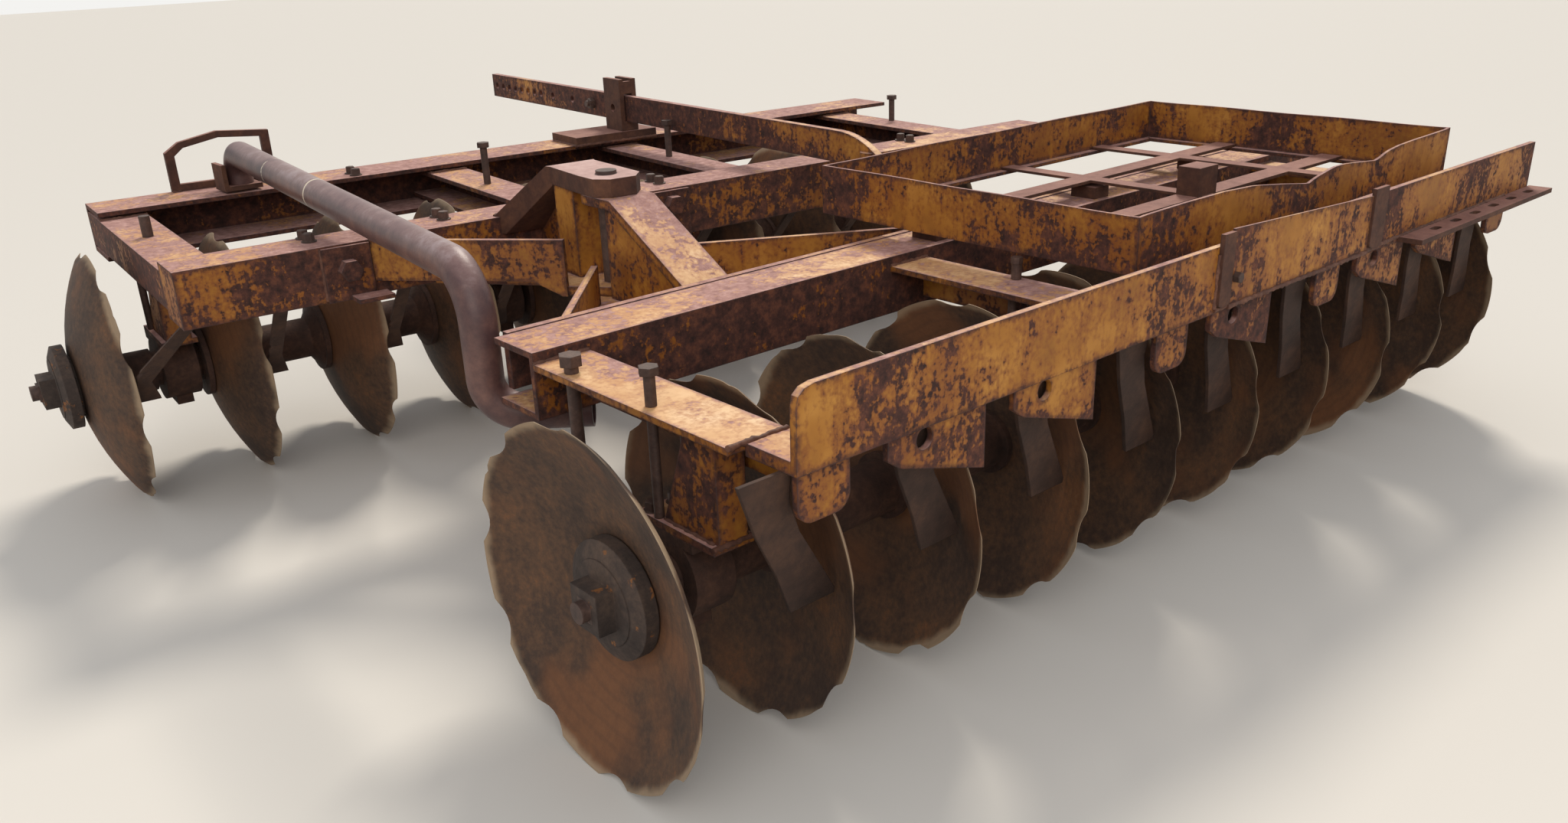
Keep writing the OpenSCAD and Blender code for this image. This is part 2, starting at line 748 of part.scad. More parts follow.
// tongue under the tray, ending in a socket block for the angle bar's eye pin
module bar_tongue() {
    x = bar_rest()[0] + 0.7 * eye_slot_side;
    y = bar_rest()[1];
    slot_r = eye_d / 2 + 6;
    color("saddlebrown") rear() difference() {
        union() {
            block(x - 60, x + 60, rear_beam_front - 90, y + 38, foot_z, foot_z + 22);
            block(x - 48, x + 48, tray_y1 + 8, y + 38, foot_z + 21, bar_z - 8);
        }
        for (s = [-1, 1]) translate([x + s * eye_slot_side, y, rail_top - 1])
            cylinder(h = bar_z, r = slot_r);
        block(x - eye_slot_side, x + eye_slot_side, y - slot_r, y + slot_r, rail_top - 1, bar_z);
    }
}

// where the eye pin stands at rest, seen from the rear frame
function bar_rest() = seen_from_rear(bar_x, eye_y);

// a point of the front frame in the rear frame's coordinates, parked
function seen_from_rear(x, y) = let (dx = x - front_king_x, dy = y - front_king_y)
    [king_x + dx * cos(front_yaw) - dy * sin(front_yaw), king_y + dx * sin(front_yaw) + dy * cos(front_yaw)];

// weight tray
tray_x1 = tray_x + tray_l;
tray_y1 = tray_y + tray_w;
module tray_walls() {
    lip = 30;
    color("goldenrod") rear() difference() {
        block(tray_x, tray_x1, tray_y, tray_y1, tray_z, tray_z + tray_h);
        block(tray_x + tray_t, tray_x1 - tray_t, tray_y + tray_t, tray_y1 - tray_t,
            tray_z + tray_t, tray_z + tray_h + 1);
        block(tray_x + lip, tray_x1 - lip, tray_y + lip, tray_y1 - lip, tray_z - 1, tray_z + tray_h);
    }
}

module tray_floor() {
    z0 = tray_z + tray_t;
    bar_w = 60;
    color("saddlebrown") rear() {
        for (f = [0.3, 0.66]) {
            y = tray_y + f * tray_w;
            block(tray_x + tray_t, tray_x1 - tray_t, y, y + bar_w, z0, z0 + 8);
        }
        for (f = [0.2, 0.5, 0.8]) {
            x = tray_x + f * tray_l - 24;
            block(x, x + 48, tray_y + tray_t, tray_y1 - tray_t, z0 + 1, z0 + 8);
        }
        block(tray_x + 0.5 * tray_l - 40, tray_x + 0.5 * tray_l + 40, tray_y + 0.3 * tray_w,
            tray_y + 0.3 * tray_w + 60, z0 + 7, tray_z + 86);
    }
}

// packing pieces carry the tray on the main beam and on a cross-member
module tray_cleats() {
    cleat_w = 60;
    color("saddlebrown") rear() {
        for (f = [0.06, 0.5, 0.86]) {
            x = tray_x + f * tray_l;
            block(x - cleat_w / 2, x + cleat_w / 2, rear_beam_back + 20, rear_beam_front - 40,
                rail_top, tray_z);
        }
        block(gap_x(bearing_gaps[2]) - cleat_w / 2, gap_x(bearing_gaps[2]) + cleat_w / 2,
            tray_y + 2, tray_y + 28, cross_top, tray_z);
    }
}

// straps up the back of the angle hook over its edge and hold the tray
angle_face = angle_back - angle_t;
module tray_straps() {
    strap_t = 10;
    color("saddlebrown") rear() for (s = [[1131, 41, 776], [1756, 62, 742]]) {
        x0 = s[0];
        x1 = s[0] + s[1];
        block(x0, x1, angle_face - strap_t, angle_face, leaf_under + 8, s[2]);
        block(x0, x1, angle_face - strap_t, tray_y, s[2] - strap_t, s[2]);
    }
}

// repair plate on the angle, between the straps
module patch_panel() {
    x0 = 1173;
    x1 = 1755;
    color("goldenrod") rear() face_plate(angle_face - 5, angle_face)
        polygon([[x0, leaf_under + 6], [x1, leaf_under + 6], [x1, cross_top + 112], [x0, cross_top + 141]]);
}

// ledge behind the angle, with a row of slots
flange_l = 784;
flange_w = 58;
slot_count = 6;
slot_pitch = 112;
slot_w = 18;
module slotted_flange() {
    y0 = angle_face - flange_w;
    mid = y0 + 30;
    z0 = leaf_under;
    x1 = angle_end + 14;
    x0 = x1 - flange_l;
    color("goldenrod") rear() difference() {
        block(x0, x1, y0, angle_face, z0, z0 + plate_t);
        for (i = [0 : slot_count - 1]) {
            x = x0 + 140 + i * slot_pitch;
            for (e = [-12, 12]) translate([x + e, mid, z0 - 10]) cylinder(h = 40, d = slot_w);
            block(x - 12, x + 12, mid - slot_w / 2, mid + slot_w / 2, z0 - 10, z0 + 30);
        }
    }
}

module rear_long_bolts() {
    color("gray") rear() {
        long_bolt(cross_x(0) - rod_aside, rear_axle_y + rod_y, cross_top, cross_top + 68, 20, 36, 14);
        long_bolt(cross_x(bearing_gaps[1]) + 42, rear_axle_y + 76, cross_top, cross_top + 48, 22, 26, 14);
        long_bolt(cross_x(0) - 34, rear_beam_back - 88, cross_top, cross_top + 34, 26, 44, 20);
        translate([cross_x(0) - 34, rear_beam_back - 88, foot_top])
            cylinder(h = cross_top - plate_t - foot_top, d = 24);
        translate([0, rear_axle_y, 0]) pad_rods(cross_top - plate_t);
    }
}

// pipe brace, a bent pipe from under the main beam to the leading beam
function unit(v) = v / norm(v);
pipe_z = rail_top - beam_h - pipe_d / 2;
pipe_over = rail_top + 150;
pipe_end = seen_from_rear(383, lead_beam_front - 119);
pipe_path = [[160, rear_beam_back + 70, pipe_z], [2, rear_beam_front + 60, pipe_z],
    [3, rear_beam_front + 62, pipe_over - 38], [pipe_end[0], pipe_end[1], pipe_over],
    [pipe_end[0], pipe_end[1], front_top + 19]];
pipe_bends = [70, 105, 62];

function run_dir(i) = unit(pipe_path[i + 1] - pipe_path[i]);
function bend_angle(i) = acos(run_dir(i - 1) * run_dir(i));
function bend_cut(i) = pipe_bends[i - 1] * tan(bend_angle(i) / 2);
function bend_inward(i) = unit(run_dir(i) - run_dir(i - 1) * (run_dir(i) * run_dir(i - 1)));

// stations along the pipe, each a point and the direction of the pipe there
bend_steps = 6;
function bend_stations(i) = let (u = run_dir(i - 1), n = bend_inward(i), r = pipe_bends[i - 1],
    c = pipe_path[i] - u * bend_cut(i) + n * r)
    [for (k = [0 : bend_steps]) let (t = bend_angle(i) * k / bend_steps)
        [c - n * r * cos(t) + u * r * sin(t), u * cos(t) + n * sin(t)]];
pipe_last = len(pipe_path) - 1;
pipe_stations = concat([[pipe_path[0], run_dir(0)]], [for (i = [1 : pipe_last - 1]) each bend_stations(i)],
    [[pipe_path[pipe_last], run_dir(pipe_last - 1)]]);

pipe_sides = 20;
function ring(station, r) = let (a = unit(cross(station[1], [1, 0, 0])), b = cross(station[1], a))
    [for (k = [0 : pipe_sides - 1]) station[0] + r * (a * cos(360 * k / pipe_sides) + b * sin(360 * k / pipe_sides))];

// hollow pipe, open at both ends: the outer rings come first, then the inner ones
module pipe_sweep() {
    n = len(pipe_stations);
    m = pipe_sides;
    rings = concat([for (s = pipe_stations) each ring(s, pipe_d / 2)],
        [for (s = pipe_stations) each ring(s, pipe_d / 2 - pipe_wall)]);
    outer = [for (i = [0 : n - 2], k = [0 : m - 1]) let (q = (k + 1) % m)
        [i * m + k, i * m + q, (i + 1) * m + q, (i + 1) * m + k]];
    inner = [for (i = [n : 2 * n - 2], k = [0 : m - 1]) let (q = (k + 1) % m)
        [i * m + k, (i + 1) * m + k, (i + 1) * m + q, i * m + q]];
    start = [for (k = [0 : m - 1]) let (q = (k + 1) % m) [k, n * m + k, n * m + q, q]];
    end = [for (k = [0 : m - 1]) let (q = (k + 1) % m)
        [(n - 1) * m + k, (n - 1) * m + q, (2 * n - 1) * m + q, (2 * n - 1) * m + k]];
    polyhedron(points = rings, faces = concat(outer, inner, start, end), convexity = 6);
}

module pipe_brace() {
    color("rosybrown") rear() pipe_sweep();
}

module pipe_shoe() {
    e = pipe_path[4];
    color("saddlebrown") rear() {
        block(e[0] - 48, e[0] + 46, e[1] - 44, e[1] + 34, front_top + 6, e[2]);
        block(e[0] - 58, e[0] - 46, e[1] - 44, e[1] + 34, front_top + 6, e[2] + 60);
    }
}

module rear_discs() {
    color("sienna") rear() translate([0, rear_axle_y, 0]) blades(-1, rear_hub_x);
}

module rear_spools() {
    color("saddlebrown") rear() translate([0, rear_axle_y, 0]) spools(-1, rear_hub_x);
}

module rear_axle() {
    color("dimgray") rear() translate([0, rear_axle_y, 0]) axle(rear_hub_x);
}

module rear_end_nuts() {
    color("saddlebrown") rear() translate([0, rear_axle_y, 0]) end_nuts(-1, rear_hub_x);
}

front_rear_beam();
front_lead_beam();
front_cross_members();
front_standards();
front_bearings();
front_scrapers();
front_lug();
front_a_frame();
kingpin();
front_long_bolts();
bail();
guide_base();
guide_cheeks();
front_face_plates();
front_discs();
front_spools();
front_axle();
front_end_nuts();
angle_bar();
stop_bolt();
rear_beam();
rear_face_plate();
rear_angle();
rear_cross_members();
rear_standards();
rear_bearings();
rear_tabs();
rear_brackets();
rear_scrapers();
rear_lug();
rear_a_frame();
bar_tongue();
tray_walls();
tray_floor();
tray_cleats();
tray_straps();
patch_panel();
slotted_flange();
rear_long_bolts();
pipe_brace();
pipe_shoe();
rear_discs();
rear_spools();
rear_axle();
rear_end_nuts();
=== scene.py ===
import math
import random

import bmesh
import bpy
from mathutils import Matrix, Vector


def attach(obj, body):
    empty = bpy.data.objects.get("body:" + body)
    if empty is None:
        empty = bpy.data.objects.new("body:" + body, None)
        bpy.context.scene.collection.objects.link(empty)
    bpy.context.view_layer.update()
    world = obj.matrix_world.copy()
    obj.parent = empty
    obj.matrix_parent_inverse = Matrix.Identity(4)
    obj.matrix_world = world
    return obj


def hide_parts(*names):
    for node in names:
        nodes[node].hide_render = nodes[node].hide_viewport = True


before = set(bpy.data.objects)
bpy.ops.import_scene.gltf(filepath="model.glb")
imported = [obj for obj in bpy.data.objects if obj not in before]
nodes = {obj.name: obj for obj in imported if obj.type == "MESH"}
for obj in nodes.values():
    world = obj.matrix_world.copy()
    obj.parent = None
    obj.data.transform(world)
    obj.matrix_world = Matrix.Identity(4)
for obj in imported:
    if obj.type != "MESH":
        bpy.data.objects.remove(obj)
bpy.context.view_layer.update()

MM = 0.001

# The two frames, in metres: the rear one's own corner, and the front one's place and turn about
# the kingpin. A point on a frame is given from that frame's own corner.
REAR_CORNER = Vector((-1.113, -1.528, 0.0))
KINGPIN = Vector((-0.590, -0.448, 0.0))
FRONT_KING = Vector((0.876, -0.387, 0.0))
FRONT_YAW = math.radians(-4.46)
REAR = Matrix.Translation(REAR_CORNER)
FRONT = Matrix.Translation(KINGPIN) @ Matrix.Rotation(FRONT_YAW, 4, "Z") @ Matrix.Translation(-FRONT_KING)

# The gangs, in metres: axle height, axle lines, first hubs and the spacing of the blades.
AXLE_Z = 0.317
REAR_AXLE_Y = 0.217
FRONT_AXLE_Y = 0.526
REAR_HUB_X = -0.0635
FRONT_HUB_X = -0.175
PITCH = 0.305

# The blades, in millimetres: a spherical dish with a flat centre and scallops cut by a round tool.
BLADE_R = 317.0
BLADE_T = 6.0
BLADE_COUNT = 10
DISH_R = 603.27
FLAT_AT = 4.806
HUB_R = 36.0
SCALLOPS = 10
CUTTER_AT = 388.0
CUTTER_R = 84.0
RIM_GRIND = 1.8

# Lines and levels of the frames, in millimetres.
FRONT_TOP = 681
FRONT_CROSS_TOP = 660
FRONT_BEAM_BACK = -36
FRONT_BEAM_AHEAD = 100
LEAD_BEAM_BACK = 793
BAIL_Y = 951
GUIDE_BACK, GUIDE_AHEAD = 779, 940
GUIDE_LEFT, GUIDE_RIGHT = 1412, 1712
CROSS_TOP = 615
CROSS_W = 119
ANGLE_FACE = -104
ANGLE_BACK = -90
LEAF_AHEAD = 12
LEAF_UNDER = 593
REAR_BEAM_BACK = 565
FACE_PLATE_AHEAD = 718
HOUSING_TOP = 413
HOUSING_BOLT_AHEAD = 56
STRAPS = ((1131, 1172, 752), (1756, 1818, 742))
BEARING_X = [59 + 305 * gap for gap in (0, 3, 5, 8)]
PLAIN_X = [59 + 305 * gap for gap in (1, 2, 4, 6, 7)]
UP, BACK = (0, 0, 1), (0, -1, 0)


# --------------------------------------------------------------- camera, floor and light
def hex_colour(code):
    """sRGB hex to linear RGBA."""
    parts = [int(code[i:i + 2], 16) / 255 for i in (1, 3, 5)]
    return tuple(c / 12.92 if c <= 0.04045 else ((c + 0.055) / 1.055) ** 2.4 for c in parts) + (1.0,)


def add(tree, kind, inputs=None, stops=(), **settings):
    """Adds a node. An input takes a value, a hex colour, or the socket or node it is linked to.
    A ramp takes its stops as (place, hex) pairs."""
    node = tree.nodes.new(kind)
    for name, value in settings.items():
        setattr(node, name, value)
    if stops:
        points = node.color_ramp.elements
        while len(points) < len(stops):
            points.new(0.5)
        for point, (place, colour) in zip(points, stops):
            point.position = place
            point.color = hex_colour(colour)
    for name, value in (inputs or {}).items():
        if isinstance(value, bpy.types.Node):
            value = value.outputs[0]
        if isinstance(value, bpy.types.NodeSocket):
            tree.links.new(value, node.inputs[name])
        elif isinstance(value, str) and value.startswith("#"):
            node.inputs[name].default_value = hex_colour(value)
        else:
            node.inputs[name].default_value = value
    return node


def aim_camera():
    """Stands where the photograph was taken, found from the straight edges of the beams."""
    lens_px, width, height, centre_y = 1631.64, 2048, 1075, 578.8
    yaw, pitch, roll = math.radians(40.56), math.radians(22.67), math.radians(-2.02)
    eye = Vector((-2.155, -2.863, 1.332))
    ahead = Vector((math.sin(yaw) * math.cos(pitch), math.cos(yaw) * math.cos(pitch), -math.sin(pitch)))
    right = Vector((math.cos(yaw), -math.sin(yaw), 0.0))
    up = right.cross(ahead)
    right, up = (math.cos(roll) * right + math.sin(roll) * up,
                 math.cos(roll) * up - math.sin(roll) * right)
    data = bpy.data.cameras.new("camera")
    data.sensor_width = 36.0
    data.sensor_fit = "HORIZONTAL"
    data.lens = lens_px / width * data.sensor_width
    data.shift_y = (centre_y - height / 2) / width
    data.clip_end = 200.0
    camera = bpy.data.objects.new("camera", data)
    bpy.context.scene.collection.objects.link(camera)
    turn = Matrix((right, up, -ahead)).transposed().to_4x4()
    camera.matrix_world = Matrix.Translation(eye) @ turn
    bpy.context.scene.camera = camera


def hang_lamp(name, kind, place, look_at, energy, size, colour):
    """A sun's size is the angle it fills, a wide lamp's its width in metres."""
    data = bpy.data.lights.new(name, kind)
    data.energy = energy
    data.color = hex_colour(colour)[:3]
    setattr(data, "size" if kind == "AREA" else "angle", size)
    lamp = bpy.data.objects.new(name, data)
    bpy.context.scene.collection.objects.link(lamp)
    lamp.location = place
    lamp.rotation_euler = (Vector(look_at) - Vector(place)).to_track_quat("-Z", "Y").to_euler()


def light_scene():
    """An even sky that shows as a pale backdrop, a soft sun and a wide lamp."""
    scene = bpy.context.scene
    scene.view_settings.view_transform = "Standard"
    scene.world = bpy.data.worlds.new("studio")
    scene.world.use_nodes = True
    tree = scene.world.node_tree
    tree.nodes.clear()
    rays = add(tree, "ShaderNodeLightPath").outputs
    seen = rays["Is Camera Ray"]
    for kind in ("Is Glossy Ray", "Is Transmission Ray"):
        seen = add(tree, "ShaderNodeMath", {0: seen, 1: rays[kind]}, operation="ADD", use_clamp=True)
    sky = add(tree, "ShaderNodeBackground", {"Color": "#F2F4F8", "Strength": 0.62})
    backdrop = add(tree, "ShaderNodeBackground", {"Color": "#F4F3F0", "Strength": 1.0})
    world = add(tree, "ShaderNodeMixShader", {0: seen, 1: sky, 2: backdrop})
    add(tree, "ShaderNodeOutputWorld", {"Surface": world})
    # the sun stands behind on the right, as in the photograph, the lamp on the viewer's side
    hang_lamp("key", "SUN", (5.0, 4.0, 7.0), (0.0, 0.0, 0.3), energy=2.2, size=math.radians(14),
              colour="#FFF6E8")
    hang_lamp("fill", "AREA", (-4.5, -5.5, 4.2), (0.0, -0.3, 0.3), energy=170.0, size=5.0,
              colour="#FBF6F0")


def lay_floor():
    mesh = bpy.data.meshes.new("floor")
    work = bmesh.new()
    bmesh.ops.create_grid(work, x_segments=1, y_segments=1, size=30.0)
    work.to_mesh(mesh)
    work.free()
    floor = bpy.data.objects.new("floor", mesh)
    bpy.context.scene.collection.objects.link(floor)
    pale, tree = new_material("pale_floor")
    cover = add(tree, "ShaderNodeBsdfPrincipled", {"Base Color": "#DAD6CF", "Roughness": 0.9})
    add(tree, "ShaderNodeOutputMaterial", {"Surface": cover})
    mesh.materials.append(pale)


# --------------------------------------------------------------- finishes
def new_material(name):
    material = bpy.data.materials.new(name)
    material.use_nodes = True
    material.node_tree.nodes.clear()
    return material, material.node_tree


def spots(tree, coords, size_mm, detail=4.0, rough=0.6, stretch=(1, 1, 1)):
    """Cloudy pattern whose patches are about size_mm across."""
    placed = add(tree, "ShaderNodeMapping", {"Vector": coords, "Scale": stretch})
    return add(tree, "ShaderNodeTexNoise", {"Vector": placed, "Scale": 0.5 / (size_mm * MM),
                                            "Detail": detail, "Roughness": rough}).outputs["Fac"]


def faces_sky(tree, coords):
    """How far a face looks up: 0 on the walls, 1 on the tops."""
    up = add(tree, "ShaderNodeSeparateXYZ", {0: coords.outputs["Normal"]}).outputs["Z"]
    return add(tree, "ShaderNodeMapRange", {"Value": up, "From Min": 0.35, "From Max": 0.85},
               interpolation_type="SMOOTHSTEP")


def worn_edges(tree, width_mm, samples):
    """The normal rounded off along edges, and how near an edge is, from 0 to 1."""
    rounded = add(tree, "ShaderNodeBevel", {"Radius": width_mm * MM}, samples=samples)
    flat = add(tree, "ShaderNodeNewGeometry").outputs["True Normal"]
    alike = add(tree, "ShaderNodeVectorMath", {0: rounded, 1: flat}, operation="DOT_PRODUCT")
    near = add(tree, "ShaderNodeMapRange", {"Value": alike.outputs["Value"], "From Min": 0.995,
                                            "From Max": 0.86}, interpolation_type="SMOOTHSTEP")
    return rounded, near


def surface(tree, colour, roughness, specular, height, depth_mm, strength, normal=None):
    """Lifts the surface by a height pattern and covers it with its colour."""
    lift = {"Height": height, "Distance": depth_mm * MM, "Strength": strength}
    if normal is not None:
        lift["Normal"] = normal
    cover = add(tree, "ShaderNodeBsdfPrincipled", {
        "Base Color": colour, "Roughness": roughness, "Specular IOR Level": specular,
        "Normal": add(tree, "ShaderNodeBump", lift)})
    add(tree, "ShaderNodeOutputMaterial", {"Surface": cover})


def weathered_enamel(name, seed, bare_walls, bare_tops):
    """Implement enamel brushed on hot-rolled steel and left outdoors for decades: it chips in
    ragged flecks and weeps rust down the upright faces; what faces the sky is painted paler, as
    painted sunlight. bare_walls and bare_tops say how much of it is gone."""
    material, tree = new_material(name)
    coords = add(tree, "ShaderNodeTexCoord")
    place = add(tree, "ShaderNodeMapping", {"Vector": coords.outputs["Object"],
                                            "Location": (seed, seed * 0.7, seed * 0.3)})
    sky = faces_sky(tree, coords)
    wall = add(tree, "ShaderNodeMath", {0: 1.0, 1: sky}, operation="SUBTRACT")
    rounded, edge = worn_edges(tree, width_mm=4, samples=4)
    # a wider band along every border, where rust creeps in under the enamel
    border = worn_edges(tree, width_mm=22, samples=6)[1]

    clouds = spots(tree, place, 150, 3.0, 0.5)
    patches = spots(tree, place, 24, 6.0, 0.70, (1.0, 1.0, 0.8))
    flecks = spots(tree, place, 5, 2.0, 0.5)
    runs = spots(tree, place, 7, 3.0, 0.55, (1.0, 1.0, 0.12))
    runs = add(tree, "ShaderNodeMath", {0: runs, 1: 0.5}, operation="SUBTRACT")
    runs = add(tree, "ShaderNodeMath", {0: runs, 1: wall}, operation="MULTIPLY")
    gone = add(tree, "ShaderNodeMapRange", {"Value": sky, "To Min": bare_walls - 0.5,
                                            "To Max": bare_tops - 0.5})
    loss = add(tree, "ShaderNodeMath", {0: clouds, 1: 0.62}, operation="MULTIPLY")
    for pattern, weight in ((patches, 0.50), (flecks, 0.30), (runs, 0.20), (edge, 0.06),
                            (border, 0.11), (gone, 0.21)):
        loss = add(tree, "ShaderNodeMath", {0: pattern, 1: weight, 2: loss}, operation="MULTIPLY_ADD")
    chips_at = 0.71
    bare = add(tree, "ShaderNodeMapRange", {"Value": loss, "From Min": chips_at - 0.02,
                                            "From Max": chips_at + 0.035},
               interpolation_type="SMOOTHSTEP")

    # yellow on the walls, painted paler where a face looks up: painted sunlight on the tops
    tone = spots(tree, place, 60, 3.0, 0.6)
    yellow = add(tree, "ShaderNodeValToRGB", {0: tone},
                 stops=[(0.3, "#86561F"), (0.5, "#A46C26"), (0.72, "#B98238")])
    sunlit_yellow = add(tree, "ShaderNodeValToRGB", {0: tone},
                stops=[(0.3, "#D2A06C"), (0.52, "#E6BC8C"), (0.75, "#F2D4AE")])
    sunlit_share = add(tree, "ShaderNodeMath", {0: sky, 1: 0.85}, operation="MULTIPLY")
    paint = add(tree, "ShaderNodeMix", {0: sunlit_share, 6: yellow, 7: sunlit_yellow}, data_type="RGBA").outputs[2]

    # a rusty stain in the enamel round every chip, painted paler on the tops as sunlight
    stained = add(tree, "ShaderNodeMapRange", {"Value": loss, "From Min": chips_at - 0.15,
                                               "From Max": chips_at + 0.01, "To Max": 0.85},
                  interpolation_type="SMOOTHSTEP")
    stain = add(tree, "ShaderNodeMix", {0: sky, 6: "#80481E", 7: "#B98256"}, data_type="RGBA").outputs[2]
    paint = add(tree, "ShaderNodeMix", {0: stained, 6: paint, 7: stain}, data_type="RGBA").outputs[2]

    # brown scale on the bare steel, painted paler on the tops as sunlight
    scale = spots(tree, place, 11, 6.0, 0.7)
    brown = add(tree, "ShaderNodeValToRGB", {0: scale},
                stops=[(0.34, "#2B1B19"), (0.5, "#4A2D26"), (0.68, "#704432")])
    pale = add(tree, "ShaderNodeValToRGB", {0: scale},
               stops=[(0.3, "#86605A"), (0.52, "#AC837B"), (0.75, "#CCA69C")])
    rust = add(tree, "ShaderNodeMix", {0: sky, 6: brown, 7: pale}, data_type="RGBA").outputs[2]
    colour = add(tree, "ShaderNodeMix", {0: bare, 6: paint, 7: rust}, data_type="RGBA").outputs[2]

    # arrises rubbed down to dark, polished-looking steel, painted paler on the tops as sunlight
    in_places = add(tree, "ShaderNodeMapRange", {"Value": patches, "From Min": 0.40, "From Max": 0.52,
                                                 "To Max": 0.75}, interpolation_type="SMOOTHSTEP")
    rubbed = add(tree, "ShaderNodeMath", {0: edge, 1: in_places}, operation="MULTIPLY")
    steel = add(tree, "ShaderNodeMix", {0: sky, 6: "#463B3C", 7: "#8E7C7A"}, data_type="RGBA").outputs[2]
    colour = add(tree, "ShaderNodeMix", {0: rubbed, 6: colour, 7: steel}, data_type="RGBA").outputs[2]

    roughness = add(tree, "ShaderNodeMapRange", {"Value": bare, "To Min": 0.58, "To Max": 0.86},
                    interpolation_type="SMOOTHSTEP")
    # rust pits are well under a millimetre across, drawn at 3 mm so that they show; the bare
    # steel lies lower than the enamel
    pits = spots(tree, place, 3, 4.0, 0.7)
    pits = add(tree, "ShaderNodeMath", {0: pits, 1: 0.5}, operation="MULTIPLY")
    height = add(tree, "ShaderNodeMath", {0: bare, 1: -0.35, 2: pits}, operation="MULTIPLY_ADD")
    surface(tree, colour, roughness, specular=0.35, height=height, depth_mm=1.2, strength=0.55,
            normal=rounded)
    return material


def rusted_steel(name, seed, stops, size_mm=14, roughness=0.82, flake=0.6, sunlit_top_stops=None, flecks=None,
                 scuffs_y=()):
    """Bare steel or cast iron gone brown: fine scale, with the tops painted lighter as sunlight where top
    stops are given.
    """
    material, tree = new_material(name)
    coords = add(tree, "ShaderNodeTexCoord")
    place = add(tree, "ShaderNodeMapping", {"Vector": coords.outputs["Object"],
                                            "Location": (seed, seed * 0.4, seed * 0.9)})
    broad = spots(tree, place, size_mm * 5, 4.0, 0.6)
    fine = spots(tree, place, size_mm, 6.0, 0.72)
    tone = add(tree, "ShaderNodeMath", {0: broad, 1: fine}, operation="ADD")
    tone = add(tree, "ShaderNodeMath", {0: tone, 1: 0.5}, operation="MULTIPLY")
    colour = add(tree, "ShaderNodeValToRGB", {0: tone}, stops=stops)
    # painted sunlight: the faces that look up get the lighter stops
    if sunlit_top_stops:
        top = add(tree, "ShaderNodeValToRGB", {0: tone}, stops=sunlit_top_stops)
        colour = add(tree, "ShaderNodeMix", {0: faces_sky(tree, coords), 6: colour, 7: top},
                     data_type="RGBA").outputs[2]
    if flecks:
        # what is left of the enamel
        left = add(tree, "ShaderNodeMapRange", {"Value": spots(tree, place, 22, 5.0, 0.7),
                                                "From Min": 0.60, "From Max": 0.66},
                   interpolation_type="SMOOTHSTEP")
        colour = add(tree, "ShaderNodeMix", {0: left, 6: colour, 7: flecks},
                     data_type="RGBA").outputs[2]
    for y in scuffs_y:
        # a pale, slightly wavy scuff, some 8 mm wide, worn round the pipe where a chain was slung
        along = add(tree, "ShaderNodeSeparateXYZ", {0: coords.outputs["Object"]}).outputs["Y"]
        along = add(tree, "ShaderNodeMath", {0: broad, 1: 0.02, 2: along}, operation="MULTIPLY_ADD")
        along = add(tree, "ShaderNodeMath", {0: along, 1: y + 0.01}, operation="SUBTRACT")
        off = add(tree, "ShaderNodeMath", {0: along}, operation="ABSOLUTE")
        band = add(tree, "ShaderNodeMapRange", {"Value": off, "From Min": 0.0045, "From Max": 0.003},
                   interpolation_type="SMOOTHSTEP")
        broken = add(tree, "ShaderNodeMapRange", {"Value": fine, "From Min": 0.4, "From Max": 0.5},
                     interpolation_type="SMOOTHSTEP")
        scuff = add(tree, "ShaderNodeMath", {0: band, 1: broken}, operation="MULTIPLY")
        colour = add(tree, "ShaderNodeMix", {0: scuff, 6: colour, 7: "#D9CBB4"},
                     data_type="RGBA").outputs[2]
    # pits drawn at 4 mm, several times too coarse, so that they show
    pits = spots(tree, place, 4, 5.0, 0.72)
    rounded = add(tree, "ShaderNodeBevel", {"Radius": 3 * MM}, samples=4)
    surface(tree, colour, roughness, specular=0.4, height=pits, depth_mm=1.5, strength=flake,
            normal=rounded)
    return material


